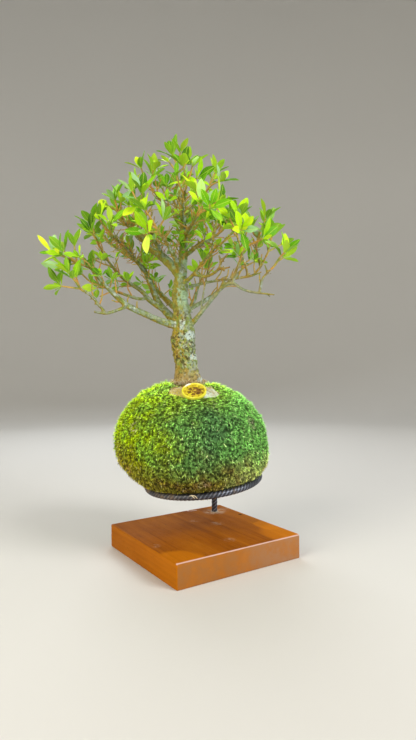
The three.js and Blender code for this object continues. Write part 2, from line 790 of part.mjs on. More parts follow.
// One leaf on one side of a twig's knob, or none where there is no room.
// Its width keeps it in its own share of the turn round the twig.
function growLeaf(random, tip, out, count) {
  for (let attempt = 0; attempt < tries; attempt++) {
    const spread = between(random, leafSpread);
    const length = between(random, leafLength);
    const widestReach = leafStations[1][0] * length * Math.sin(spread);
    const room = widestReach * Math.tan(Math.PI / count) * leafRoom;
    const leaf = {
      base: tip.point.clone().addScaledVector(out, knobRadius * Math.cos(Math.PI / count)),
      along: leaning(tip.along, out, spread),
      up: tip.along.clone().multiplyScalar(Math.sin(spread)).addScaledVector(out, -Math.cos(spread)),
      length,
      half: Math.min((length * leafWidth) / 2, room),
      curl: between(random, leafCurl),
    };
    if (isFree(leafBalls(leaf))) return leaf;
  }
  return null;
}

// A twig is a line of [x, y, z, radius] that ends in a knob with a leaf on each of its sides
function growTwig(random, path) {
  const [x, y, z] = path.at(-1);
  const point = new THREE.Vector3(x, y, z);
  const along = point.clone().sub(new THREE.Vector3(...path.at(-2).slice(0, 3))).normalize();
  const count = Math.floor(between(random, [leavesPerRosette[0], leavesPerRosette[1] + 1]));
  const start = random() * 2 * Math.PI;
  const across = acrossFrom(along);
  const leaves = [];
  for (let i = 0; i < count; i++) {
    const turn = start + ((i + 0.5) / count) * 2 * Math.PI;
    leaves.push(growLeaf(random, { point, along }, outward(across, turn), count));
  }
  return { path, point, along, across, count, start, leaves };
}

// The first twig carries on from the limb's end, and the others part from it at a fork
function growSpray(limb, number) {
  const random = randomFrom(plantSeed * 1000 + number);
  const end = new THREE.Vector3(...limb.path.at(-1).slice(0, 3));
  const along = end.clone().sub(new THREE.Vector3(...limb.path.at(-2).slice(0, 3))).normalize();
  const across = acrossFrom(along);
  const turnStart = random() * 2 * Math.PI;
  const fork = end.clone().addScaledVector(along, between(random, forkDistance));
  const twigs = [];
  for (let i = 0; i < limb.spray.twigs; i++) {
    for (let attempt = 0; attempt < tries; attempt++) {
      const turn = turnStart + i * goldenAngle + turnShake * (random() - 0.5);
      const isLeader = i === 0;
      const spread = between(random, isLeader ? leaderSpread : twigSpread);
      const out = leaning(along, outward(across, turn), spread);
      out.z += upwardPull;
      out.normalize();
      const tip = fork.clone().addScaledVector(out, between(random, twigReach));
      if (!(isLeader && attempt === tries - 1) && !isFree(tubeBalls(fork, tip))) continue;
      const path = [[...fork.toArray(), forkRadius], [...tip.toArray(), twigRadius]];
      if (isLeader) {
        path.unshift([...end.clone().addScaledVector(along, gap).toArray(), limb.path.at(-1)[3]]);
      }
      const twig = growTwig(random, path);
      taken.push(...tubeBalls(fork, tip), ...twig.leaves.filter(Boolean).flatMap(leafBalls));
      twigs.push(twig);
      break;
    }
  }
  return twigs;
}

// A twig with its knob and leaves is one closed surface. Each leaf has a rib between its two halves,
// which rise from it, and is widest past its middle.
function twigSurface({ path, point, along, across, count, start, leaves }) {
  const positions = [];
  const index = [];
  const add = (vertex) => positions.push(vertex) - 1;
  const ring = (centre, direction, radius) => Array.from({ length: count }, (_, i) => {
    const out = outward(across, start + (i / count) * 2 * Math.PI);
    out.addScaledVector(direction, -out.dot(direction)).normalize();
    return add(centre.clone().addScaledVector(out, radius));
  });
  const rows = path.slice(0, -1).map(([x, y, z, radius], i) => {
    const here = new THREE.Vector3(x, y, z);
    const next = new THREE.Vector3(...path[i + 1].slice(0, 3));
    return ring(here, next.sub(here).normalize(), radius);
  });
  rows.push(ring(point.clone().addScaledVector(along, -knobHeight / 2), along, knobRadius));
  rows.push(ring(point.clone().addScaledVector(along, knobHeight / 2), along, knobRadius));
  const bud = add(point.clone().addScaledVector(along, knobHeight / 2 + budHeight));
  for (let side = 0; side < count; side++) {
    const beside = (side + 1) % count;
    for (let row = 0; row < rows.length - 2; row++) {
      const [a, b, c, d] = [rows[row][side], rows[row][beside], rows[row + 1][beside], rows[row + 1][side]];
      index.push([a, b, c], [a, c, d]);
    }
    const [low, high] = rows.slice(-2);
    const foot = [low[side], low[beside], high[beside], high[side]];
    if (leaves[side]) index.push(...leafFaces(leaves[side], foot, add));
    else index.push([foot[0], foot[1], foot[2]], [foot[0], foot[2], foot[3]]);
    index.push([high[side], high[beside], bud]);
    if (side > 1) index.push([rows[0][0], rows[0][side], rows[0][side - 1]]);
  }
  const geometry = new THREE.BufferGeometry();
  const flat = positions.flatMap((vertex) => vertex.toArray());
  geometry.setAttribute("position", new THREE.Float32BufferAttribute(flat, 3));
  geometry.setIndex(index.flat());
  return geometry;
}

// The faces of a leaf that starts from one side of the knob
function leafFaces(leaf, [lowLeft, lowRight, highRight, highLeft], add) {
  const rib = leafThickness / 2;
  const [near, far] = leafStations.map(([share, width]) => ({
    under: add(leafPoint(leaf, share, 0, -rib)),
    right: add(leafPoint(leaf, share, width, 0)),
    top: add(leafPoint(leaf, share, 0, rib)),
    left: add(leafPoint(leaf, share, -width, 0)),
  }));
  const tip = add(leafMiddle(leaf, 1));
  return [
    [lowLeft, lowRight, near.under], [lowRight, near.right, near.under],
    [lowRight, highRight, near.right], [highRight, near.top, near.right],
    [highRight, highLeft, near.top], [highLeft, near.left, near.top],
    [highLeft, lowLeft, near.left], [lowLeft, near.under, near.left],
    [near.under, near.right, far.right], [near.under, far.right, far.under],
    [near.right, near.top, far.right], [near.top, far.top, far.right],
    [near.top, near.left, far.left], [near.top, far.left, far.top],
    [near.left, near.under, far.left], [near.under, far.under, far.left],
    [far.under, far.right, tip], [far.right, far.top, tip],
    [far.top, far.left, tip], [far.left, far.under, tip],
  ];
}

function spraySolid(twigs) {
  return joined(twigs.map((twig) => asSolid(twigSurface(twig))));
}

// The whole object

const colours = {
  wood: { color: 0x9a4f1c, roughness: 0.45, metalness: 0 },
  iron: { color: 0x3a3d45, roughness: 0.5, metalness: 0.9 },
  weld: { color: 0x55585e, roughness: 0.6, metalness: 0.8 },
  moss: { color: 0x4f8a1e, roughness: 1, metalness: 0 },
  soil: { color: 0x9c8a68, roughness: 1, metalness: 0 },
  yellow: { color: 0xe6c81e, roughness: 0.4, metalness: 0 },
  feed: { color: 0x4a2a14, roughness: 1, metalness: 0 },
  bark: { color: 0x8d8560, roughness: 0.9, metalness: 0 },
  leaf: { color: 0x6fae1e, roughness: 0.45, metalness: 0 },
};

function piece(name, solid, colour) {
  const material = new THREE.MeshStandardMaterial(colours[colour]);
  const mesh = new THREE.Mesh(asGeometry(solid), material);
  mesh.name = name;
  return mesh;
}

rootLimbs();
limbBalls();

const stand = new THREE.Group();
stand.add(
  piece("wooden_block", woodenBlock(), "wood"),
  piece("iron_post", post(), "iron"),
  piece("iron_ring", ribbedRing(), "iron"),
  piece("weld_bead", weldBead(), "weld"),
);

const plant = new THREE.Group();
plant.rotation.z = plantTurn;
const plantToPart = new THREE.Matrix4().makeRotationZ(plantTurn);
plant.add(
  piece("moss_wrap", mossWrap(plantToPart), "moss"),
  piece("soil_ball", soilBall(plantToPart), "soil"),
  piece("watering_cap", wateringCap(), "yellow"),
  piece("feed_plug", feedPlug(), "feed"),
  piece("trunk", trunk(), "bark"),
);
limbs.filter(({ spray }) => spray).forEach((limb, i) => {
  const name = `spray_${String(i + 1).padStart(2, "0")}`;
  plant.add(piece(name, spraySolid(growSpray(limb, i + 1)), "leaf"));
});

const kokedama = new THREE.Group();
kokedama.add(stand, plant);

export default kokedama;
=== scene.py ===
# Kokedama: a small bonsai azalea in a moss ball, carried by a ribbed iron ring on a stained block.
# Lengths in the dictionaries are millimetres. The plant is set out in its own frame, turned about Z:
# u to the right of its front, v away behind it, z up from the block's underside.
# A material's "grain" holds its noises: size, detail, roughness, then where patches of it fade in
# and between which strengths. Its "fades" hold two such values and strengths for other masks, and
# its "share" says how much of each tint shows.
import math

import bpy
import numpy as np
from mathutils import Matrix, Vector, noise
from mathutils.kdtree import KDTree


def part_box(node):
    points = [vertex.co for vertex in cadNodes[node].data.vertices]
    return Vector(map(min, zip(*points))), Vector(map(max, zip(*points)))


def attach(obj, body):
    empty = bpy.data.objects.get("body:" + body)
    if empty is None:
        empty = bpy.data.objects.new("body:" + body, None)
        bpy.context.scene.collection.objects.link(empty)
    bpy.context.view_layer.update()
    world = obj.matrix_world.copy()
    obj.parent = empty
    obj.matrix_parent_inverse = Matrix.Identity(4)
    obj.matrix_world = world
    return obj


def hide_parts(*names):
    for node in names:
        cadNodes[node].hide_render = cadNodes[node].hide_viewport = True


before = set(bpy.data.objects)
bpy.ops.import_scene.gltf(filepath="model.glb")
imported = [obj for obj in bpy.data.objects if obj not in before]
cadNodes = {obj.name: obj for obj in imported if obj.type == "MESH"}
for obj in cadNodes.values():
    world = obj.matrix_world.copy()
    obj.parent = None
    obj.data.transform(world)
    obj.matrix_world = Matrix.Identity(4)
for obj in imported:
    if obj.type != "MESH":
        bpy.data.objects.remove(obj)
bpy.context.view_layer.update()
mm = 0.001
plantTurn = math.radians(-33.2)
plantToPart = Matrix.Rotation(plantTurn, 3, "Z")


# Everyday helpers

def objectMode():
    bpy.ops.object.mode_set(mode="OBJECT")


def onlySelect(*objs):
    if bpy.context.object and bpy.context.object.mode != "OBJECT":
        objectMode()
    bpy.ops.object.select_all(action="DESELECT")
    for obj in objs:
        obj.select_set(True)
    bpy.context.view_layer.objects.active = objs[0]


def named(name):
    obj = bpy.context.object
    obj.name = name
    obj.data.name = name
    return obj


def settle(obj):
    onlySelect(obj)
    bpy.ops.object.transform_apply(location=True, rotation=True, scale=True)


def pick(obj, kind, test):
    # opens obj in edit mode with only the edges or faces that pass the test selected
    onlySelect(obj)
    bpy.ops.object.mode_set(mode="EDIT")
    bpy.ops.mesh.select_mode(type=kind)
    bpy.ops.mesh.select_all(action="DESELECT")
    objectMode()
    data = obj.data
    if kind == "EDGE":
        for edge in data.edges:
            edge.select = test(*(data.vertices[i].co for i in edge.vertices))
    else:
        for face in data.polygons:
            face.select = test(face.center, face.normal)
    bpy.ops.object.mode_set(mode="EDIT")


def addModifier(obj, kind, **settings):
    modifier = obj.modifiers.new(kind.title(), kind)
    for key, value in settings.items():
        setattr(modifier, key, value)


def applyModifiers(obj):
    onlySelect(obj)
    for modifier in list(obj.modifiers):
        bpy.ops.object.modifier_apply(modifier=modifier.name)


def remesh(obj, voxel, rounding=0, factor=0.5):
    # one skin over everything in obj, with the voxel in mm, then smoothed as often as rounding says
    addModifier(obj, "REMESH", mode="VOXEL", voxel_size=voxel * mm)
    if rounding:
        addModifier(obj, "SMOOTH", factor=factor, iterations=rounding)
    applyModifiers(obj)


def cut(obj, cutter, **settings):
    addModifier(obj, "BOOLEAN", operation="DIFFERENCE", object=cutter, solver="EXACT", **settings)
    applyModifiers(obj)
    bpy.data.objects.remove(cutter)


def cylinder(name, vertices, radius, depth, place):
    # radius and depth in mm, place in metres
    bpy.ops.mesh.primitive_cylinder_add(
        vertices=vertices, radius=radius * mm, depth=depth * mm, location=place,
    )
    return named(name)


def extrudeUp(height):
    bpy.ops.mesh.extrude_region_move(TRANSFORM_OT_translate={"value": (0, 0, height * mm)})


def insetBy(width):
    bpy.ops.mesh.inset(thickness=width * mm)


def pointsOf(obj):
    return np.array([vertex.co for vertex in obj.data.vertices])


def setPoints(obj, points):
    obj.data.vertices.foreach_set("co", points.astype(np.float32).ravel())


def smooth(obj, angle=40):
    onlySelect(obj)
    bpy.ops.object.shade_smooth_by_angle(angle=math.radians(angle))


def join(name, objs):
    onlySelect(*objs)
    bpy.ops.object.join()
    return named(name)


def cadCopy(name, node):
    # a copy of a CAD node, its loose triangles merged into one closed mesh
    copy = cadNodes[node].copy()
    copy.data = cadNodes[node].data.copy()
    copy.parent = None
    for key in list(copy.keys()):
        del copy[key]
    bpy.context.scene.collection.objects.link(copy)
    onlySelect(copy)
    bpy.ops.object.mode_set(mode="EDIT")
    bpy.ops.mesh.select_all(action="SELECT")
    bpy.ops.mesh.remove_doubles(threshold=0.02 * mm)
    objectMode()
    copy.data.materials.clear()
    return named(name)


def roughen(obj, size, strength, depth=2, group=""):
    # pushes a surface in and out by Blender's own procedural clouds
    texture = bpy.data.textures.new(obj.name + "Clouds", "CLOUDS")
    texture.noise_scale = size * mm
    texture.noise_depth = depth
    addModifier(obj, "DISPLACE", texture=texture, texture_coords="GLOBAL",
                strength=strength * mm, mid_level=0.5, vertex_group=group)
    applyModifiers(obj)


def showData(name, data):
    obj = bpy.data.objects.new(name, data)
    bpy.context.scene.collection.objects.link(obj)
    return obj


def meshFrom(name, points, faces):
    # points in metres, in the part's frame
    mesh = bpy.data.meshes.new(name)
    mesh.from_pydata(points.tolist(), [], faces)
    return showData(name, mesh)


def addValues(obj, name, values, domain="POINT"):
    attribute = obj.data.attributes.new(name, "FLOAT", domain)
    attribute.data.foreach_set("value", np.asarray(values, np.float32))


def fromPlant(points):
    # points of the plant's frame in mm, to the part's frame in metres
    return (np.asarray(points, float) * mm) @ np.array(plantToPart).T


def unit(vectors):
    return vectors / np.linalg.norm(vectors, axis=-1, keepdims=True)


def ready(obj, slot, *replaced):
    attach(obj, "root")
    if replaced:
        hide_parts(*replaced)
    return obj


def paint(obj, finish):
    obj.data.materials.append(finish.material)


def dress(obj, finish, slot, *replaced):
    paint(obj, finish)
    return ready(obj, slot, *replaced)


# Materials

class Val:
    # one socket of a material, so that shader maths reads as sums
    def __init__(self, finish, socket):
        self.finish, self.socket = finish, socket

    def math(self, operation, a, b=0.0):
        return self.finish.node("ShaderNodeMath", {"operation": operation}, {0: a, 1: b})

    def __add__(self, other):
        return self.math("ADD", self, other)

    __radd__ = __add__

    def __sub__(self, other):
        return self.math("SUBTRACT", self, other)

    def __rsub__(self, other):
        return self.math("SUBTRACT", other, self)

    def __mul__(self, other):
        return self.math("MULTIPLY", self, other)

    __rmul__ = __mul__

    def __pow__(self, other):
        return self.math("POWER", self, other)

    def __abs__(self):
        return self.math("ABSOLUTE", self)


class Finish:
    # one material, with a method for any node
    def __init__(self, name, **shader):
        self.material = bpy.data.materials.new(name)
        self.material.use_nodes = True
        self.tree = self.material.node_tree
        self.shader = self.tree.nodes["Principled BSDF"]
        for key, value in shader.items():
            self.set(key.replace("_", " "), value)

    def set(self, socketName, value):
        socket = self.shader.inputs[socketName]
        if isinstance(value, Val):
            self.tree.links.new(value.socket, socket)
        else:
            socket.default_value = (*value, 1) if isinstance(value, tuple) and len(value) == 3 else value

    def node(self, kind, settings=None, sockets=None, out=0):
        made = self.tree.nodes.new(kind)
        for key, value in (settings or {}).items():
            if key == "stops":
                self.setStops(made.color_ramp, value)
            else:
                setattr(made, key, value)
        for key, value in (sockets or {}).items():
            if isinstance(value, Val):
                self.tree.links.new(value.socket, made.inputs[key])
            elif isinstance(value, tuple) and len(value) == 3 and made.inputs[key].type == "RGBA":
                made.inputs[key].default_value = (*value, 1)
            else:
                made.inputs[key].default_value = value
        return Val(self, made.outputs[out])

    @staticmethod
    def setStops(ramp, stops):
        while len(ramp.elements) < len(stops):
            ramp.elements.new(0.5)
        for element, (place, value) in zip(ramp.elements, stops):
            element.position = place
            element.color = (*value, 1) if isinstance(value, tuple) else (value, value, value, 1)

    def place(self, turn=0.0, scale=(1, 1, 1)):
        coordinates = self.node("ShaderNodeTexCoord", out="Object")
        return self.node("ShaderNodeMapping", {}, {
            "Vector": coordinates, "Rotation": (0, 0, turn), "Scale": scale,
        })

    def parts(self, vector):
        return [self.node("ShaderNodeSeparateXYZ", {}, {0: vector}, out=i) for i in range(3)]

    def plantPlace(self):
        # u, v and z of the plant's own frame, in metres
        return self.parts(self.place(turn=-plantTurn))

    def noise(self, size, detail=3.0, roughness=0.55, vector=None, distortion=0.0):
        # size of the blotches in mm
        return self.node("ShaderNodeTexNoise", {}, {
            "Vector": vector or self.place(), "Scale": 1000 / size, "Detail": detail,
            "Roughness": roughness, "Distortion": distortion,
        })

    def patches(self, size, detail, roughness, *limits, add=None, vector=None):
        # noise faded into patches, between two of its values and, if given, two strengths
        value = self.noise(size, detail, roughness, vector)
        return self.fade(value if add is None else value + add, *limits)

    def cells(self, size):
        return self.node("ShaderNodeTexVoronoi", {}, {"Vector": self.place(), "Scale": 1000 / size})

    def ramp(self, value, *stops):
        return self.node("ShaderNodeValToRGB", {"stops": stops}, {0: value})

    def fade(self, value, low, high, start=0.0, end=1.0):
        return self.node("ShaderNodeMapRange", {"interpolation_type": "SMOOTHSTEP"}, {
            "Value": value, "From Min": low, "From Max": high, "To Min": start, "To Max": end,
        })

    def band(self, value, limits, start=0.0, end=1.0):
        # a fade between two places in mm
        return self.fade(value, limits[0] * mm, limits[1] * mm, start, end)

    def mix(self, factor, a, b, blend="MIX"):
        return self.node("ShaderNodeMix", {"data_type": "RGBA", "blend_type": blend}, {
            0: factor, 6: a, 7: b,
        }, out=2)

    def layers(self, colour, *layers):
        # paints tints over a colour, each where its mask lets it
        for mask, tint in layers:
            colour = self.mix(mask, colour, tint)
        return colour

    def near(self, placeX, placeY, radius, x, y, core=0.35):
        # 1 round a place in mm, fading out from the core's share of a radius up to all of it
        x = x - placeX * mm
        y = y - placeY * mm
        return self.fade((x * x + y * y) ** 0.5, radius * core * mm, radius * mm, 1, 0)

    def spots(self, spots, x, y, core=0.35):
        # spots of (x, y, radius) in mm
        return sum(self.near(*spot, x, y, core) for spot in spots)

    def value(self, attribute):
        return self.node("ShaderNodeAttribute", {"attribute_name": attribute}, {}, out="Fac")

    def bump(self, height, depth, strength=1.0):
        # depth in mm
        self.set("Normal", self.node("ShaderNodeBump", {}, {
            "Height": height, "Distance": depth * mm, "Strength": strength,
        }))


# Camera, floor and lights

cameraLook = {
    "place": (-315.4, -497.7, 203.5), "yaw": 33.19, "pitch": -0.415, "roll": -0.584,
    "lens": 26.2, "longSide": 36,
}
lightLook = {
    "key": {"place": (520, -1300, 950), "size": 700, "power": 21.5, "colour": (1, 0.98, 0.94)},
    "fill": {"place": (-1300, -270, 800), "size": 900, "power": 16, "colour": (1, 0.93, 0.78)},
    "back": {"place": (300, 1000, 1000), "size": 800, "power": 8, "colour": (0.92, 0.96, 1)},
    "aim": (0, 0, 220),
    "world": (0.78, 0.8, 0.83), "worldStrength": 0.36,
}
sweepLook = {
    "floorRadius": 1400, "bend": 1100, "wallHeight": 2600, "steps": 12, "sides": 96,
    "paper": (0.66, 0.655, 0.64), "palePaper": (0.7, 0.695, 0.68),
}


def placeCamera():
    look = cameraLook
    bpy.ops.object.camera_add(location=Vector(look["place"]) * mm)
    camera = named("photoCamera")
    yaw, pitch, roll = (math.radians(look[key]) for key in ("yaw", "pitch", "roll"))
    turn = Matrix.Rotation(-yaw, 4, "Z") @ Matrix.Rotation(math.pi / 2 + pitch, 4, "X")
    camera.rotation_euler = (turn @ Matrix.Rotation(roll, 4, "Z")).to_euler()
    camera.data.lens = look["lens"]
    camera.data.sensor_fit = "VERTICAL"
    camera.data.sensor_height = look["longSide"]
    camera.data.clip_start = 0.01
    bpy.context.scene.camera = camera


def buildFloor():
    # a round floor whose rim sweeps up into a wall all round
    look = sweepLook
    bpy.ops.mesh.primitive_circle_add(
        vertices=look["sides"], radius=look["floorRadius"] * mm, fill_type="NGON",
    )
    floor = named("studioFloor")
    pick(floor, "EDGE", lambda a, b: True)
    reach, height = look["floorRadius"], 0
    for step in range(1, look["steps"] + 1):
        angle = step / look["steps"] * math.pi / 2
        wide = look["floorRadius"] + look["bend"] * math.sin(angle)
        rise = look["bend"] * (1 - math.cos(angle)) - height
        extrudeUp(rise)
        bpy.ops.transform.resize(value=(wide / reach, wide / reach, 1), center_override=(0, 0, 0))
        reach, height = wide, height + rise
    extrudeUp(look["wallHeight"] - height)
    objectMode()
    smooth(floor, 60)
    paper = Finish("studioPaper", Roughness=0.8, Specular_IOR_Level=0.2)
    paper.set("Base Color", paper.mix(paper.noise(900, 1.0), look["paper"], look["palePaper"]))
    paint(floor, paper)


def placeLights():
    look = lightLook
    for name in ("key", "fill", "back"):
        light = look[name]
        bpy.ops.object.light_add(type="AREA", location=Vector(light["place"]) * mm)
        lamp = named(name + "Light")
        aim = Vector(look["aim"]) * mm - lamp.location
        lamp.rotation_euler = aim.to_track_quat("-Z", "Y").to_euler()
        lamp.data.size = light["size"] * mm
        lamp.data.energy = light["power"]
        lamp.data.color = light["colour"]
    world = bpy.data.worlds.new("studioWorld")
    world.use_nodes = True
    background = world.node_tree.nodes["Background"]
    background.inputs["Color"].default_value = (*look["world"], 1)
    background.inputs["Strength"].default_value = look["worldStrength"]
    bpy.context.scene.world = world
    bpy.context.scene.view_settings.view_transform = "Standard"


placeCamera()
buildFloor()
placeLights()
print("stage ready")


# Stained block

blockLook = {
    "cornerBevel": 2.0, "edgeBevel": 1.1, "cornerSteps": 6, "edgeSteps": 4, "holeRadius": 4.0,
    "holeDepth": 20, "wear": 0.8, "bandInset": 2.2,
    "stain": [(0.36, (0.2, 0.055, 0.004)), (0.55, (0.34, 0.1, 0.006)), (0.78, (0.47, 0.16, 0.01))],
    # worn is the pale lilac of the edges, partly wear and partly a painted highlight
    "endGrain": (0.33, 0.135, 0.033), "pore": (0.08, 0.025, 0.004), "worn": (0.66, 0.47, 0.44),
    "scuff": (0.56, 0.42, 0.3), "orange": (0.66, 0.21, 0.004), "blush": (0.4, 0.225, 0.135),
    "glows": [(74, -66, 42), (72, -30, 20), (-72, -72, 34)], "glowDrift": 30,
    "smudges": [(26, 8, 10), (4, -47, 8), (-68, -20, 7), (68, 52, 13), (10, 30, 8)],
    "dent": (68.5, 22, 2.6), "glueStain": 17.0,
    "nick": {"places": [(26, 74), (26, 71.5), (29, 70), (32, 69.5), (35, 69)], "radius": 2.1,
             "depth": (1.2, 2.5)},
    "skin": (0.1, 0.4), "flankBand": (-70, 30), "flank": (0.42, 0.1), "blushBand": (-30, 60),
    "blushShare": (0.1, 0.6), "stretch": 0.045, "poreStretch": 0.16, "warp": 1.2,
    "grain": {
        "rings": (17, 2.0, 0.5), "streaks": (2.4, 4.0, 0.65), "blotch": (46, 2.0, 0.5),
        "pores": (0.9, 2.0, 0.6, 0.6, 0.7), "mottle": (14, 4.0, 0.65, 0.35, 0.65, 0.45, 0.95),
        "smudges": (7, 5.0, 0.7, 0.44, 0.64, 0, 0.42), "glue": (6, 4.0, 0.7, 0.4, 0.56, 0, 0.8),
        "worn": (9, 3.0, 0.55), "sheen": (9, 4.0, 0.6),
    },
    "share": {"rings": 0.5, "streaks": 0.32, "blotch": 0.3, "pores": 0.4, "glow": 0.5, "nick": 0.8},
}
postPlace = (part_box("iron_post")[0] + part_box("iron_post")[1]) / 2


def stainedWood():
    look = blockLook
    grain, share = look["grain"], look["share"]
    wood = Finish("stainedWood", Roughness=0.5, Specular_IOR_Level=0.03)
    x, y, z = wood.parts(wood.place())
    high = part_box("wooden_block")[1]
    outer, inner = (depth * mm for depth in look["skin"])
    above = wood.fade(z, high.z - inner, high.z - outer)
    ends = wood.fade(abs(y), high.y - inner, high.y - outer)
    band = look["bandInset"] * mm
    nearX = wood.fade(abs(x), high.x - band, high.x)
    nearY = wood.fade(y, band - high.y, -high.y)
    nearZ = wood.fade(z, high.z - band, high.z)

    # the wood's figure, and the stain that pools in it
    along = wood.place(scale=(1, look["stretch"], 1))
    warped = wood.place(scale=(1, look["poreStretch"], 1))
    rings = wood.noise(*grain["rings"], along, look["warp"])
    streaks = wood.noise(*grain["streaks"], along)
    pores = wood.patches(*grain["pores"], vector=warped)
    figure = rings * share["rings"] + streaks * share["streaks"]
    figure = figure + wood.noise(*grain["blotch"]) * share["blotch"]
    colour = wood.mix(pores * share["pores"], wood.ramp(figure, *look["stain"]), look["pore"])
    for glow in look["glows"]:
        spread = wood.near(*glow, x + (rings - 0.5) * (look["glowDrift"] * mm), y, 0.75)
        colour = wood.mix(spread * above * share["glow"], colour, look["orange"])
    flank = (1 - above) * wood.band(y, look["flankBand"], *look["flank"])
    mottle = wood.patches(*grain["mottle"])
    blush = ends * wood.band(x, look["blushBand"], *look["blushShare"]) * mottle

    # wear: pale edges, partly wear and partly a painted highlight line along them, smudges, dried glue round
    # the post, a nick and a dent
    edge = nearY * nearZ + nearX * nearY * 0.5 + nearX * nearZ * 0.35
    worn = wood.fade(edge + wood.noise(*grain["worn"]) * 0.4, 0.6, 1.0, 0, look["wear"])
    smudges = wood.spots(look["smudges"], x, y) * above * wood.patches(*grain["smudges"])
    post = wood.near(postPlace.x / mm, postPlace.y / mm, look["glueStain"], x, y)
    scuff = smudges + post * wood.patches(*grain["glue"])
    nick = look["nick"]
    shallow, deep = (depth * mm for depth in nick["depth"])
    scratch = wood.spots([(*place, nick["radius"]) for place in nick["places"]], x, y, 0.6)
    scratch = scratch * wood.fade(z, high.z - deep, high.z - shallow)
    dent = wood.near(*look["dent"], x, y, 0.7)
    wood.set("Base Color", wood.layers(
        colour, (flank, look["orange"]), (ends * mottle, look["endGrain"]), (blush, look["blush"]),
        (worn, look["worn"]), (scuff, look["scuff"]), (scratch * share["nick"], look["worn"]),
        (dent, look["pore"]),
    ))
    wood.set("Roughness", 0.46 + wood.noise(*grain["sheen"]) * 0.2 + scuff * 0.4)
    wood.bump(streaks * 0.6 - pores * 0.8, 0.12, 0.5)
    return wood


def buildBlock():
    look = blockLook
    low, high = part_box("wooden_block")
    bpy.ops.mesh.primitive_cube_add(size=1, location=(low + high) / 2)
    block = named("stainedBlock")
    block.scale = high - low
    settle(block)
    pick(block, "EDGE", lambda a, b: abs(a.z - b.z) > 5 * mm)
    bpy.ops.mesh.bevel(offset=look["cornerBevel"] * mm, segments=look["cornerSteps"])
    objectMode()
    pick(block, "EDGE", lambda a, b: abs(a.z - b.z) < 1e-5)
    bpy.ops.mesh.bevel(offset=look["edgeBevel"] * mm, segments=look["edgeSteps"])
    objectMode()
    top = (postPlace.x, postPlace.y, high.z)
    cut(block, cylinder("postDrill", 40, look["holeRadius"], 2 * look["holeDepth"], top))
    smooth(block, 35)
    return dress(block, stainedWood(), "stained_wood", "wooden_block")


buildBlock()
print("block ready")


# Ribbed bar: the ring, the post and the weld between them

barLook = {
    "core": 3.15, "rib": 0.42, "starts": 4, "twist": 17.0, "sides": 24, "step": 0.85,
    "ringRadius": 62.0, "ringHeight": 76.9, "ringTilt": 6.0, "inset": 24.0, "blockSide": 150.0,
    # worn is the pale of the rib crests, and tarnish warms it on the left: partly wear and partly a painted
    # highlight
    "dark": (0.045, 0.048, 0.06), "worn": (0.24, 0.27, 0.35), "rust": (0.2, 0.13, 0.07),
    "tarnishAndWarmSheen": (0.33, 0.28, 0.2), "dullBand": (-50, 20), "postOver": 0.6,
    "grain": {
        "worn": (3, 4.0, 0.6), "patches": (16, 3.0, 0.6, 0.36, 0.6, 0.25, 1),
        "rust": (7, 5.0, 0.7, 0.58, 0.7), "sheen": (1.4, 3.0), "pits": (0.8, 4.0, 0.65),
    },
    "share": {"worn": 0.7, "tarnishAndWarmSheen": 0.8, "dullRust": 0.12, "rust": 0.7}, "fades": {"worn": (0.35, 1.05)},
}
weldLook = {
    "beads": 11, "radius": 4.6, "bead": 1.7, "voxel": 0.45, "drop": 3.6, "rounding": 3,
    "sway": 0.5, "uneven": 0.16, "grainSize": 1.1, "grainHeight": 0.35,
    "heat": [(0.35, (0.05, 0.05, 0.06)), (0.55, (0.16, 0.13, 0.12)), (0.72, (0.11, 0.13, 0.2))],
}
glueLook = {
    "radius": 4.0, "thickness": 0.75, "grainSize": 3.0, "grainHeight": 0.7,
    "colour": (0.62, 0.56, 0.46), "brown": (0.4, 0.27, 0.15),
}
ringPlace = barLook["blockSide"] / 2 - barLook["inset"] - barLook["ringRadius"] / math.sqrt(2)
ringCentre = Vector((ringPlace, ringPlace, barLook["ringHeight"]))
ringTurn = Matrix.Rotation(-math.radians(barLook["ringTilt"]), 3, "Y")


def ribHeight(angle, length):
    # how far a rib stands out at an angle round the bar and a length along it, from 0 to 1
    look = barLook
    wave = np.cos(look["starts"] * (angle - 2 * math.pi * length / look["twist"]))
    return np.clip(0.5 + 0.75 * wave, 0, 1) ** 1.5


def darkIron():
    look = barLook
    grain, share = look["grain"], look["share"]
    iron = Finish("darkIron", Roughness=0.45)
    # rib crests paler: partly wear and partly a painted highlight, bluish, and warmer on the ring's left
    worn = iron.value("rib") + iron.noise(*grain["worn"]) * share["worn"] - 0.35
    worn = iron.fade(worn, *look["fades"]["worn"]) * iron.patches(*grain["patches"])
    dull = iron.band(iron.plantPlace()[0], look["dullBand"], 1, 0)
    rust = iron.patches(*grain["rust"], add=dull * share["dullRust"])
    iron.set("Base Color", iron.layers(
        look["dark"], (worn, iron.mix(dull * share["tarnishAndWarmSheen"], look["worn"], look["tarnishAndWarmSheen"])),
        (rust * share["rust"], look["rust"]),
    ))
    iron.set("Metallic", 0.6 - rust * 0.5)
    iron.set("Roughness", 0.36 + rust * 0.35 + iron.noise(*grain["sheen"]) * 0.2)
    iron.bump(iron.noise(*grain["pits"]), 0.12, 0.6)
    return iron


def ribSection(obj, aroundAndAlong):
    # moves the bar's skin out along its ribs, and keeps the rib height for the material
    ribs = ribHeight(*aroundAndAlong)
    addValues(obj, "rib", ribs)
    return (barLook["core"] + barLook["rib"] * ribs) * mm


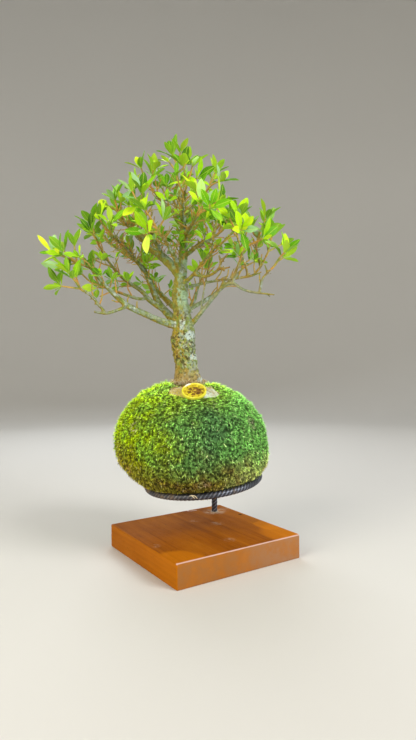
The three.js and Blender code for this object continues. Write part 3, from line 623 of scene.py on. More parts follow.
def buildRing(iron):
    look = barLook
    radius = look["ringRadius"] * mm
    around = 2 * math.pi * look["ringRadius"]
    bpy.ops.mesh.primitive_torus_add(
        major_segments=round(around / look["step"]), minor_segments=look["sides"],
        major_radius=radius, minor_radius=look["core"] * mm,
    )
    ring = named("ribbedRing")
    points = pointsOf(ring)
    turn = np.arctan2(points[:, 1], points[:, 0])
    outward = np.hypot(points[:, 0], points[:, 1]) - radius
    angle = np.arctan2(points[:, 2], outward)
    rounds = round(around / look["twist"] * look["starts"]) / look["starts"]
    length = turn / (2 * math.pi) * rounds * look["twist"]
    skin = ribSection(ring, (angle, length))
    reach = radius + skin * np.cos(angle)
    placed = np.stack([reach * np.cos(turn), reach * np.sin(turn), skin * np.sin(angle)], 1)
    setPoints(ring, placed @ np.array(ringTurn).T + np.array(ringCentre) * mm)
    smooth(ring, 50)
    return dress(ring, iron, "iron", "iron_ring")


def buildPost(iron):
    look = barLook
    low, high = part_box("iron_post")
    top = high.z + look["postOver"] * mm
    tall = (top - low.z) / mm
    middle = (postPlace.x, postPlace.y, (top + low.z) / 2)
    post = cylinder("ribbedPost", look["sides"], look["core"], tall, middle)
    settle(post)
    pick(post, "EDGE", lambda a, b: abs(a.z - b.z) > 5 * mm)
    bpy.ops.mesh.subdivide(number_cuts=round(tall / look["step"]))
    objectMode()
    points = pointsOf(post)
    away = points[:, :2] - np.array(postPlace.xy)
    angle = np.arctan2(away[:, 1], away[:, 0])
    skin = ribSection(post, (angle, points[:, 2] / mm))
    points[:, 0] = postPlace.x + skin * np.cos(angle)
    points[:, 1] = postPlace.y + skin * np.sin(angle)
    setPoints(post, points)
    smooth(post, 50)
    return dress(post, iron, "iron", "iron_post")


def barHeight(x):
    # height of the ring's middle line where it passes x, in metres
    return ringCentre.z * mm + (x - ringCentre.x * mm) * math.tan(math.radians(barLook["ringTilt"]))


def buildWeld():
    look = weldLook
    middle = barHeight(postPlace.x)
    beads = []
    for i in range(look["beads"]):
        turn = i / look["beads"] * 2 * math.pi
        x = postPlace.x + look["radius"] * mm * math.cos(turn)
        y = postPlace.y + look["radius"] * mm * math.sin(turn)
        z = middle - (look["drop"] + look["sway"] * math.cos(2 * turn)) * mm
        size = look["bead"] * (1 + look["uneven"] * math.sin(3.1 * i)) * mm
        bpy.ops.mesh.primitive_ico_sphere_add(subdivisions=3, radius=size, location=(x, y, z))
        beads.append(named("weldLump"))
    weld = join("weldBeads", beads)
    settle(weld)
    remesh(weld, look["voxel"], look["rounding"], 0.6)
    roughen(weld, look["grainSize"], look["grainHeight"])
    smooth(weld, 60)
    seam = Finish("weldSeam", Metallic=0.7, Roughness=0.5)
    seam.set("Base Color", seam.ramp(seam.noise(3.5, 3.0), *look["heat"]))
    seam.bump(seam.noise(0.7, 4.0), 0.15, 0.7)
    return dress(weld, seam, "weld", "weld_bead")


def buildGlue():
    look = glueLook
    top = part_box("wooden_block")[1].z
    bpy.ops.mesh.primitive_torus_add(
        major_segments=48, minor_segments=10, major_radius=look["radius"] * mm,
        minor_radius=look["thickness"] * mm, location=(postPlace.x, postPlace.y, top),
    )
    glue = named("glueRing")
    settle(glue)
    roughen(glue, look["grainSize"], look["grainHeight"])
    smooth(glue, 60)
    resin = Finish("driedGlue", Roughness=0.35)
    resin.set("Base Color", resin.mix(resin.noise(2, 3.0), look["colour"], look["brown"]))
    return dress(glue, resin, "stained_wood")


barIron = darkIron()
buildRing(barIron)
buildPost(barIron)
buildWeld()
buildGlue()
print("ring, post and weld ready")


# Moss ball

ballLook = {
    "centre": (-11, 8, 122), "voxel": 2.6, "rounding": 10, "lumpSize": 17, "lumpHeight": 2.2,
    "swellings": [{"place": (-46, 8, 172), "radius": 42, "height": 2.6}],
    "grain": {"tall": (2.2, 3.0), "tone": (3.4, 3.0), "lumps": (1.6, 4.0, 0.7)}, "lumps": 1.2,
}
shootLook = {
    "kinds": [
        {"count": 12500, "isBent": True, "length": (3.2, 6.4), "halfWidth": (0.26, 0.46), "lean": (46, 80)},
        {"count": 12500, "isBent": True, "length": (3.0, 6.0), "halfWidth": (0.26, 0.46), "lean": (46, 80)},
    ] + 2 * [
        {"count": 31000, "isBent": False, "length": (2.2, 4.6), "halfWidth": (0.32, 0.55), "lean": (22, 72)},
    ],
    "seed": 7, "strawShare": 0.04, "sideways": 44, "droop": 0.5, "flatness": 0.6,
    "ringRoom": 3.9, "sunk": 0.8,
    "tuftSize": 4.6, "tuftRise": 1.8, "under": (70, 90), "underLength": 0.4,
    "patchCentre": (-6.8, -23.5), "patchRadii": (27.2, 18.8), "brink": (1.0, 1.34), "brinkLength": 0.6,
    # lit is yellow-green that is partly the moss's own colour and partly painted light on the left
    "lit": (0.7, 1.0, 0.004), "mid": (0.36, 0.92, 0.18), "deep": (0.19, 0.46, 0.15),
    "top": (0.66, 1.0, 0.03), "olive": (0.47, 0.38, 0.03), "brown": (0.4, 0.21, 0.06),
    "sand": (0.92, 1.0, 0.3), "straw": (0.95, 0.92, 0.5), "bald": (0.85, 0.68, 0.54),
    # glint is the colour of a painted highlight on shoot tips
    "glint": (0.7, 0.95, 0.5),
    "leftBand": (-78, -12), "rightBand": (8, 50), "topBand": (148, 176), "lowBand": (82, 120),
    # a band towards the top, and how much lighter the shoots are painted there: painted light
    "paintedTopLightBand": (156, 180), "paintedTopLight": (1, 1.34),
    "grain": {
        "drift": (38, 3.0, 0.6), "patches": (19, 4.0, 0.65, 0.42, 0.62),
        "browning": (16, 3.0, 0.55, 0.5, 0.62), "specks": (2.9, 2.0, 0.5, 0.38, 0.62, 0.3, 1.6),
    },
    "share": {"right": 0.8, "top": 0.75, "patches": 0.4, "low": 0.85, "brown": 0.6, "glint": 0.45,
              "straw": 0.6},
    # the glint fades place the painted highlight; the tone and tall fades set the painted shade
    "fades": {
        "glint": (0.62, 0.85), "glintTall": (0.4, 1.0), "straw": (0.93, 0.97),
        "tone": (0.0, 0.9, 0.25, 1.6), "tall": (0.0, 0.85, 0.25, 1.0),
    },
    "drift": 70, "tuftContrast": 1.9, "tuftLength": (0.6, 0.5), "toneParts": (0.55, 0.5),
    "brinkAbove": 150, "facing": 0.25, "outPull": 0.12, "brinkPull": 2.5,
    "baldShorter": 0.45, "baldThinner": 0.3,
}
baldSpots = [
    {"place": (-66, -47, 141), "radius": 5.5, "tint": 0.95},
    {"place": (-63, -46, 151), "radius": 4.5, "tint": 0.75},
    {"place": (-24, -8, 183), "radius": 6.5, "tint": 0.9},
    {"place": (-17, -8, 184), "radius": 4.5, "tint": 0.9},
    {"place": (54, -36, 146), "radius": 5.5, "tint": 1.0},
    {"place": (12.5, -49, 166), "radius": 4.0, "tint": 0.9},
    {"place": (3.6, -65, 88.6), "radius": 5.0, "tint": 0.35},
]


def surfaceSamples(obj, count, random, accept):
    # points spread evenly over the faces that are accepted, with their normals, in mm
    mesh = obj.data
    mesh.calc_loop_triangles()
    points = np.empty(len(mesh.vertices) * 3, np.float32)
    mesh.vertices.foreach_get("co", points)
    points = points.reshape(-1, 3) / mm
    corners = np.empty(len(mesh.loop_triangles) * 3, np.int32)
    mesh.loop_triangles.foreach_get("vertices", corners)
    a, b, c = (points[corners.reshape(-1, 3)[:, i]] for i in range(3))
    normals = np.cross(b - a, c - a)
    areas = np.linalg.norm(normals, axis=1) / 2
    keep = accept((a + b + c) / 3, normals / (2 * areas[:, None] + 1e-12))
    areas = np.where(keep, areas, 0)
    reach = np.cumsum(areas)
    chosen = np.searchsorted(reach, (np.arange(count) + random.random(count)) / count * reach[-1])
    chosen = np.minimum(chosen, len(areas) - 1)
    r, s = random.random((2, count))
    flip = r + s > 1
    r, s = np.where(flip, 1 - r, r)[:, None], np.where(flip, 1 - s, s)[:, None]
    spots = a[chosen] + r * (b - a)[chosen] + s * (c - a)[chosen]
    return spots, unit(normals[chosen])


def strands(name, feet, starts, ends, lengths, halfWidths, faceUp, values, isBent=True):
    # tapered, three-sided strands: from their feet along starts, then along ends to a point.
    # Those that aren't bent are plain spikes.
    count = len(feet)
    middle = feet + starts * lengths[:, None] * 0.5
    tip = middle + ends * lengths[:, None] * 0.5
    side = unit(np.cross(starts, faceUp))
    over = unit(np.cross(side, starts))
    rows = []
    for centre, share in ((feet, 0.8), (middle, 1.0))[:2 if isBent else 1]:
        for angle in (90, 210, 330):
            out = side * math.cos(math.radians(angle))
            out = out + over * math.sin(math.radians(angle)) * shootLook["flatness"]
            rows.append(centre + out * halfWidths[:, None] * share)
    rows.append(tip)
    points = np.stack(rows, 1).reshape(-1, 3)
    last = len(rows) - 1
    pattern = [(0, 2, 1)]
    for i in range(3):
        j = (i + 1) % 3
        pattern.append((last - 3 + i, last - 3 + j, last))
        if isBent:
            pattern += [(i, j, 3 + j), (i, 3 + j, 3 + i)]
    faces = (np.array(pattern)[None] + len(rows) * np.arange(count)[:, None, None]).reshape(-1, 3)
    strand = meshFrom(name, points * mm, faces.tolist())
    addValues(strand, "tall", np.tile([0, 0, 0, 0.55, 0.55, 0.55, 1] if isBent else [0, 0, 0, 1], count))
    for key, value in values.items():
        addValues(strand, key, np.repeat(value, len(rows)))
    strand.data.shade_smooth()
    return strand


def toRing(points):
    # distance from the middle line of the ring's bar, in mm
    local = (points - np.array(ringCentre)) @ np.array(ringTurn)
    return np.hypot(np.hypot(local[:, 0], local[:, 1]) - barLook["ringRadius"], local[:, 2])


def tuftiness(points):
    # 0 in the gaps between the moss's tufts, up to 1 in their middles
    size = shootLook["tuftSize"]
    tufts = np.empty(len(points))
    for i, point in enumerate(points.tolist()):
        near = noise.voronoi(Vector(point) / size)[0]
        tufts[i] = near[1] - near[0]
    return np.clip(tufts * shootLook["tuftContrast"], 0, 1)


def atBrink(points):
    # 1 at the edge of the bare soil and 0 well away from it, and the way in over the soil
    look = shootLook
    plant = points @ np.array(plantToPart)
    reach = (plant[:, :2] - look["patchCentre"]) / look["patchRadii"]
    brink = np.interp(np.linalg.norm(reach, axis=1), look["brink"], (1, 0))
    brink = brink * (points[:, 2] > look["brinkAbove"])
    inward = np.column_stack([-reach, np.zeros(len(points))]) @ np.array(plantToPart).T
    return brink, unit(inward + 1e-9)


def baldness(points):
    # 1 in the middle of a wholly bald spot and 0 away from all of them
    places = fromPlant([spot["place"] for spot in baldSpots]) / mm
    bald = np.zeros(len(points))
    for spot, place in zip(baldSpots, places):
        near = np.linalg.norm(points - place, axis=1) / spot["radius"]
        bald = np.maximum(bald, spot["tint"] * np.clip(1.5 - near, 0, 1))
    return bald


def downhillWays(random, feet, normals, centre):
    # ways along the ball's skin that run down it and veer to both sides
    look = shootLook
    downhill = np.array([0, 0, -1.0]) + normals[:, 2:] * normals
    downhill = unit(downhill + look["outPull"] * unit(feet - centre) + 1e-6)
    across = np.cross(normals, downhill)
    veer = np.radians(random.normal(0, look["sideways"], len(feet)))[:, None]
    return unit(downhill * np.cos(veer) + across * np.sin(veer))


def mossColour(finish, tall, tone):
    # yellow-green on the left, partly the moss's own colour and partly painted light; deep green in front,
    # olive and brown underneath
    look = shootLook
    grain, share, fades = look["grain"], look["share"], look["fades"]
    u, v, z = finish.plantPlace()
    drift = (finish.noise(*grain["drift"]) - 0.5) * (look["drift"] * mm)
    left = finish.band(u + v * 0.25 + drift, look["leftBand"], 1, 0)
    top = finish.band(z + drift * 0.5, look["topBand"])
    right = finish.band(u + drift, look["rightBand"])
    low = finish.band(z + drift * 0.9 - left * 0.012, look["lowBand"], 1, 0)
    browning = low * finish.patches(*grain["browning"])
    # painted highlight: pale glints on the tips of tall, light-toned shoots, away from the left and the
    # bottom
    glint = finish.fade(tone, *fades["glint"]) * finish.fade(tall, *fades["glintTall"])
    glint = glint * (1 - left) * (1 - low)
    colour = finish.layers(
        look["deep"], (left, look["lit"]), (right * share["right"], look["mid"]),
        (top * share["top"], finish.mix(right, look["top"], look["mid"])),
        (finish.patches(*grain["patches"]) * share["patches"], look["mid"]),
        (low * share["low"], finish.mix(right, look["olive"], look["sand"])),
        (browning * share["brown"], look["brown"]), (glint * share["glint"], look["glint"]),
        (finish.fade(tone, *fades["straw"]) * share["straw"], look["straw"]),
    )
    # painted light and shade, a grey that multiplies the colour: shoots darker at their feet and, through
    # their tone, in the gaps between tufts, lighter or darker in random specks, and lighter towards the top
    shade = finish.fade(tone, *fades["tone"]) * finish.fade(tall, *fades["tall"])
    shade = shade * finish.patches(*grain["specks"]) * finish.band(z, look["paintedTopLightBand"], *look["paintedTopLight"])
    grey = finish.node("ShaderNodeCombineColor", {}, {0: shade, 1: shade, 2: shade})
    return finish.mix(1.0, colour, grey, "MULTIPLY")


def buildMat():
    look = ballLook
    mat = cadCopy("mossMat", "moss_wrap")
    remesh(mat, look["voxel"], look["rounding"])
    roughen(mat, look["lumpSize"], look["lumpHeight"])
    points = pointsOf(mat) / mm
    away = unit(points - fromPlant(look["centre"]) / mm)
    for swelling in look["swellings"]:
        near = np.linalg.norm(points - fromPlant(swelling["place"]) / mm, axis=1) / swelling["radius"]
        points += away * (swelling["height"] * np.clip(1 - near ** 2, 0, 1))[:, None]
    setPoints(mat, points * mm)
    smooth(mat, 180)
    under = Finish("mossMat", Roughness=0.9, Specular_IOR_Level=0.1)
    tall, tone, lumps = (under.noise(*look["grain"][name]) for name in ("tall", "tone", "lumps"))
    # painted shade: the mat under the shoots takes the moss's colours darker, mottled by noises that stand
    # in for shoot height and tone
    under.set("Base Color", mossColour(under, tall * 0.5, tone * 0.6))
    under.bump(lumps, look["lumps"])
    return dress(mat, under, "moss", "moss_wrap")


def growShoots(mat):
    look = shootLook
    random = np.random.default_rng(look["seed"])
    centre = fromPlant(ballLook["centre"]) / mm

    def outside(middle, normal):
        away = unit(middle - centre)
        return np.einsum("ij,ij->i", normal, away) > look["facing"]

    finish = Finish("mossShoots", Roughness=0.6, Specular_IOR_Level=0.15)
    finish.set("Base Color", finish.mix(
        finish.value("bald"), mossColour(finish, finish.value("tall"), finish.value("tone")),
        look["bald"],
    ))
    for number, kind in enumerate(look["kinds"], 1):
        count = kind["count"]
        feet, normals = surfaceSamples(mat, count, random, outside)
        tufts = tuftiness(feet)
        feet = feet + normals * (look["tuftRise"] * (tufts[:, None] - 0.5) - look["sunk"])
        slope = downhillWays(random, feet, normals, centre)
        brink, inward = atBrink(feet)
        slope = unit(slope + look["brinkPull"] * brink[:, None] * inward)
        lean = np.radians(random.uniform(*kind["lean"], count))[:, None]
        starts = unit(normals * np.cos(lean) + slope * np.sin(lean))
        bend = random.uniform(0.2, 1.0, (count, 1)) * look["droop"] * kind["isBent"]
        ends = unit(starts + slope * bend + np.array([0, 0, -1.0]) * bend * 0.5)
        low, more = look["tuftLength"]
        lengths = random.uniform(*kind["length"], count) * (low + more * tufts)
        lengths *= np.interp(feet[:, 2], look["under"], (look["underLength"], 1))
        lengths *= 1 - (1 - look["brinkLength"]) * brink
        halfWidths = random.uniform(*kind["halfWidth"], count)
        bald = baldness(feet)
        lengths = lengths * (1 - look["baldShorter"] * bald)
        tips = feet + (starts + ends) * lengths[:, None] * 0.5
        middles = feet + starts * lengths[:, None] * 0.5
        clear = np.minimum(toRing(tips), toRing(middles)) > look["ringRoom"]
        clear &= np.minimum(toRing(feet + normals), toRing(feet)) > look["ringRoom"]
        clear &= random.random(count) > look["baldThinner"] * bald
        clear &= awayFromCap(middles) & awayFromCap(tips)
        # painted light and shade in the tone: shoots on tufts are lighter and those in the gaps darker,
        # those at the brink of the bare soil are lightened, and a few are pale straw
        anyTone, tuftShade = look["toneParts"]
        tone = np.clip(anyTone * random.random(count) + tuftShade * tufts, 0, 0.9)
        tone = np.maximum(tone, 0.9 * brink)
        tone = np.where(random.random(count) > look["strawShare"], tone, 1.0)
        shoots = strands(
            f"mossShoots{number}", feet[clear], starts[clear], ends[clear], lengths[clear],
            halfWidths[clear], normals[clear], {"tone": tone[clear], "bald": bald[clear]},
            kind["isBent"],
        )
        dress(shoots, finish, "moss")


# Watering cap, its place on the ball's front shoulder, and the feed behind its openings

capLook = {
    "centre": (-5.9, -37.5, 176.9), "tilt": 35, "radius": 12.7, "thickness": 2.0, "rimWidth": 1.4,
    "rimHeight": 0.7, "hub": 3.2, "slots": 6, "slotReach": 7.2, "slotShare": 0.675, "holes": 9,
    "holeCircle": 9.3, "holeRadius": 0.9, "neckRadius": 9.4, "neckWall": 1.1, "neckDepth": 12,
    "stepWidth": 0.7, "stepDepth": 0.5, "face": (0.6, 0.46, 0.02), "yellow": (0.78, 0.73, 0.03),
    # the near-white last colour here is a painted highlight on the rim's upper left
    "worn": (0.9, 0.86, 0.12), "dirt": (0.2, 0.08, 0.012), "paintedRimHighlight": (0.92, 0.94, 0.88),
    "heart": (2.6, 0.4), "heartRadius": 9.0,
    "openHoles": (0, 8), "openRadius": 1.3, "cutDepth": 9, "bevel": 0.35, "sides": 72,
    "room": 0.6, "under": 4, "rimBand": (1.9, 1.4),
    # the first three bands here place that painted highlight on the rim
    "paintedHighlightLeft": (-10.5, -8), "paintedHighlightRight": (-5, -3), "paintedHighlightLow": (4, 6),
    "grain": {"mottle": (4, 4.0, 0.6, 0.42, 0.62), "dirt": (2.4, 4.0, 0.7, 0.54, 0.6), "pits": (1.1, 4.0)},
    "share": {"mottle": 0.7, "heart": 0.12, "dirt": 0.45, "heartDirt": 0.5},
}
feedLook = {
    "voxel": 0.6, "grainSize": 1.9, "grainHeight": 0.9, "crumbSize": 1.5, "crumbHeight": 0.5,
    "tints": [(0.1, (0.42, 0.24, 0.03)), (0.6, (0.14, 0.06, 0.01))],
}
capPlace = Matrix.Rotation(plantTurn, 4, "Z") @ Matrix.Translation(Vector(capLook["centre"]) * mm)
capPlace = capPlace @ Matrix.Rotation(math.radians(capLook["tilt"]), 4, "X")


def awayFromCap(points):
    # true for points, in mm, that stay out of the cap's disc and of the space over it
    inverse = np.array(capPlace.inverted())
    local = (points * mm) @ inverse[:3, :3].T + inverse[:3, 3]
    beside = np.hypot(local[:, 0], local[:, 1]) > (capLook["radius"] + capLook["room"]) * mm
    return beside | (local[:, 2] < -capLook["under"] * mm)


def capBody():
    look = capLook
    middle = (0, 0, look["thickness"] / 2 * mm)
    cap = cylinder("capBody", look["sides"], look["radius"], look["thickness"], middle)
    settle(cap)
    pick(cap, "FACE", lambda place, normal: normal.z > 0.9)
    insetBy(look["rimWidth"])
    objectMode()
    rim = (look["radius"] - look["rimWidth"] / 2) * mm
    pick(cap, "FACE", lambda place, normal: normal.z > 0.9 and abs(place.xy.length - rim) < 0.5 * mm)
    extrudeUp(look["rimHeight"])
    objectMode()
    pick(cap, "FACE", lambda place, normal: normal.z > 0.9 and place.xy.length < 1 * mm)
    insetBy(look["stepWidth"])
    extrudeUp(-look["stepDepth"])
    objectMode()
    pick(cap, "FACE", lambda place, normal: normal.z < -0.9)
    insetBy(look["radius"] - look["neckRadius"])
    extrudeUp(-look["neckDepth"])
    insetBy(look["neckWall"])
    extrudeUp(look["neckDepth"] + 1)
    objectMode()
    addModifier(cap, "BEVEL", width=look["bevel"] * mm, segments=3, limit_method="ANGLE",
                angle_limit=math.radians(50))
    applyModifiers(cap)
    return cap


def capCutters():
    # sectors for the slots round the hub, and a circle of small holes outside them
    look = capLook
    middle = Vector((0, 0, look["thickness"] * mm))
    deep = look["cutDepth"]
    cutters = []
    for i in range(look["slots"]):
        cutter = cylinder("slotCutter", 48, look["slotReach"], deep, middle)
        settle(cutter)
        start = i / look["slots"] * 2 * math.pi
        end = start + look["slotShare"] * 2 * math.pi / look["slots"]
        pick(cutter, "FACE", lambda place, normal: True)
        for angle, clearOuter in ((start, False), (end, True)):
            bpy.ops.mesh.select_all(action="SELECT")
            bpy.ops.mesh.bisect(
                plane_co=(0, 0, 0), plane_no=(-math.sin(angle), math.cos(angle), 0), use_fill=True,
                clear_inner=not clearOuter, clear_outer=clearOuter,
            )
        objectMode()
        cut(cutter, cylinder("hubCutter", 32, look["hub"], deep + 3, middle))
        cutters.append(cutter)
    for i in range(look["holes"]):
        angle = (i + 0.5) / look["holes"] * 2 * math.pi
        place = Vector((math.cos(angle), math.sin(angle), 0)) * look["holeCircle"] * mm
        radius = look["openRadius"] if i in look["openHoles"] else look["holeRadius"]
        cutters.append(cylinder("holeCutter", 16, radius, deep, place + middle))
    cutters = join("capCutters", cutters)
    settle(cutters)
    return cutters


def capFinish():
    look = capLook
    grain, share = look["grain"], look["share"]
    plastic = Finish("yellowPlastic", Roughness=0.42)
    u, v, z = plastic.plantPlace()
    right, back, high = (part * mm for part in look["centre"])
    tilt = math.radians(look["tilt"])
    right, up = u - right, (v - back) * math.cos(tilt) + (z - high) * math.sin(tilt)
    reach = (right * right + up * up) ** 0.5
    rim = plastic.band(reach, [look["radius"] - inset for inset in look["rimBand"]])
    mottled = plastic.patches(*grain["mottle"])
    heart = plastic.near(*look["heart"], look["heartRadius"], right, up)
    dirt = plastic.patches(*grain["dirt"], add=heart * share["heart"]) * (1 - rim)
    # painted highlight: a near-white streak on the upper left of the rim
    paintedRimHighlight = plastic.band(right, look["paintedHighlightLeft"]) * plastic.band(right, look["paintedHighlightRight"], 1, 0)
    plastic.set("Base Color", plastic.layers(
        look["face"], (mottled * share["mottle"], look["yellow"]),
        (dirt * (share["dirt"] + heart * share["heartDirt"]), look["dirt"]),
        (rim, plastic.mix(mottled, look["yellow"], look["worn"])),
        (paintedRimHighlight * rim * plastic.band(up, look["paintedHighlightLow"]), look["paintedRimHighlight"]),
    ))
    plastic.set("Roughness", 0.36 + dirt * 0.4)
    plastic.bump(plastic.noise(*grain["pits"]), 0.12, 0.5)
    return plastic


def buildCap():
    cap = capBody()
    cut(cap, capCutters(), use_self=True)
    cap.data.transform(capPlace)
    smooth(cap, 30)
    return dress(cap, capFinish(), "yellow_plastic", "watering_cap")


def buildFeed():
    look = feedLook
    feed = cadCopy("feedGranules", "feed_plug")
    remesh(feed, look["voxel"])
    roughen(feed, look["grainSize"], look["grainHeight"], depth=1)
    smooth(feed, 180)
    crumbs = Finish("feedCrumbs", Roughness=0.85)
    grains = crumbs.cells(look["crumbSize"])
    crumbs.set("Base Color", crumbs.ramp(grains, *look["tints"]))
    crumbs.bump(grains, look["crumbHeight"])
    return dress(feed, crumbs, "plant_feed", "feed_plug")


# Clay soil, bare at the crown, with pale fibres bound in it

soilLook = {
    "voxel": 2.1, "rounding": 5, "grainSize": 5.0, "grainHeight": 0.8, "tan": (0.64, 0.54, 0.12),
    "pale": (0.76, 0.86, 0.7), "dark": (0.34, 0.26, 0.1), "paleBand": (-12, 6),
    "grain": {"drift": (9, 3.0), "pits": (2.6, 4.0, 0.7, 0.53, 0.66), "lumps": (1.2, 4.0, 0.7)},
    "drift": 20, "share": {"pits": 0.45}, "lumps": 0.7,
}
fibreLook = {
    "collar": 900, "scatter": 800, "seed": 11, "length": (3.5, 9), "halfWidth": (0.16, 0.34),
    "patch": (-7.2, -20, 0), "patchReach": 36, "patchLow": 160, "rise": (0.1, 0.45), "dip": (0.0, 0.3),
    "foot": (-14, 12, 184.5), "reach": (14.5, 18.2), "height": (-1.0, 1.4), "swing": 1.0,
    "out": (-0.3, 0.7), "skirtSwing": 0.6, "skirtRise": (-0.5, 1.1),
    "skirt": 520, "skirtReach": (15.0, 17.6), "skirtHeight": (-0.5, 3.6), "skirtLength": (2.2, 4.8),
    "tints": [(0.1, (0.42, 0.16, 0.05)), (0.4, (0.7, 0.5, 0.2)), (0.85, (0.88, 0.88, 0.66))],
}


def buildSoil():
    look = soilLook
    soil = cadCopy("soilCrown", "soil_ball")
    remesh(soil, look["voxel"], look["rounding"])
    roughen(soil, look["grainSize"], look["grainHeight"])
    smooth(soil, 180)
    clay = Finish("claySoil", Roughness=0.9)
    grain = look["grain"]
    drift = (clay.noise(*grain["drift"]) - 0.5) * (look["drift"] * mm)
    pits = clay.patches(*grain["pits"]) * look["share"]["pits"]
    clay.set("Base Color", clay.layers(
        look["tan"], (clay.band(clay.plantPlace()[0] + drift, look["paleBand"]), look["pale"]),
        (pits, look["dark"]),
    ))
    clay.bump(clay.noise(*grain["lumps"]), look["lumps"])
    return dress(soil, clay, "soil", "soil_ball")


def layFibres(soil):
    # fibres that lie about the bare soil, a collar round the trunk's foot, and a short skirt over it
    look = fibreLook
    random = np.random.default_rng(look["seed"])
    crown, foot = (fromPlant(look[key]) / mm for key in ("patch", "foot"))
    rise = np.array([0, 0, 1.0])

    def bare(middle, normal):
        near = np.hypot(middle[:, 0] - crown[0], middle[:, 1] - crown[1]) < look["patchReach"]
        return near & (normal[:, 2] > 0.4) & (middle[:, 2] > look["patchLow"])

    def roundFoot(count):
        # ways out from the trunk's foot, and ways along its skin
        turn = random.random(count) * 2 * math.pi
        out = np.stack([np.cos(turn), np.sin(turn), np.zeros(count)], 1)
        return out, np.cross(rise, out)

    count = look["scatter"]
    feet, normals = surfaceSamples(soil, count, random, bare)
    turn = random.random((count, 1)) * 2 * math.pi
    across = unit(np.cross(normals, [1.0, 0.2, 0.1]))
    slope = across * np.cos(turn) + np.cross(normals, across) * np.sin(turn)
    starts = unit(slope + normals * random.uniform(*look["rise"], (count, 1)))
    ends = unit(slope - normals * random.uniform(*look["dip"], (count, 1)))
    groups = [(feet, starts, ends)]

    count = look["collar"]
    out, along = roundFoot(count)
    feet = foot + out * random.uniform(*look["reach"], (count, 1))
    feet = feet + rise * random.uniform(*look["height"], (count, 1))
    swing = random.normal(0, look["swing"], (count, 1))
    starts = unit(along * swing + out * random.uniform(*look["out"], (count, 1)) + rise * 0.35)
    groups.append((feet, starts, unit(starts + out * 0.5 - rise * 0.55)))

    count = look["skirt"]
    out, along = roundFoot(count)
    height = rise * random.uniform(*look["skirtHeight"], (count, 1))
    feet = foot + out * random.uniform(*look["skirtReach"], (count, 1)) + height
    swing = random.normal(0, look["skirtSwing"], (count, 1))
    starts = unit(out + along * swing + rise * random.uniform(*look["skirtRise"], (count, 1)))
    groups.append((feet, starts, unit(starts - rise * 0.5)))

    feet, starts, ends = (np.vstack(parts) for parts in zip(*groups))
    total = len(feet)
    faceUp = np.vstack([normals, np.tile([0.05, 0.02, 1.0], (total - len(normals), 1))])
    lengths = np.append(random.uniform(*look["length"], total - look["skirt"]),
                        random.uniform(*look["skirtLength"], look["skirt"]))
    tips = feet + (starts + ends) * lengths[:, None] * 0.5
    clear = awayFromCap(tips) & awayFromCap(feet) & awayFromCap((feet + tips) / 2)
    fibres = strands("crownFibres", feet[clear], starts[clear], ends[clear], lengths[clear],
                     random.uniform(*look["halfWidth"], total)[clear], faceUp[clear],
                     {"tone": random.random(total)[clear]})
    straw = Finish("driedFibres", Roughness=0.75)
    straw.set("Base Color", straw.ramp(straw.value("tone"), *look["tints"]))
    return dress(fibres, straw, "soil")


mossMat = buildMat()
growShoots(mossMat)
print("moss ready")
buildCap()
buildFeed()
layFibres(buildSoil())
print("crown ready")


# The tree's limbs: lines of points [u, v, z, radius], each starting in the limb it grows from,
# which is the stem where none is named

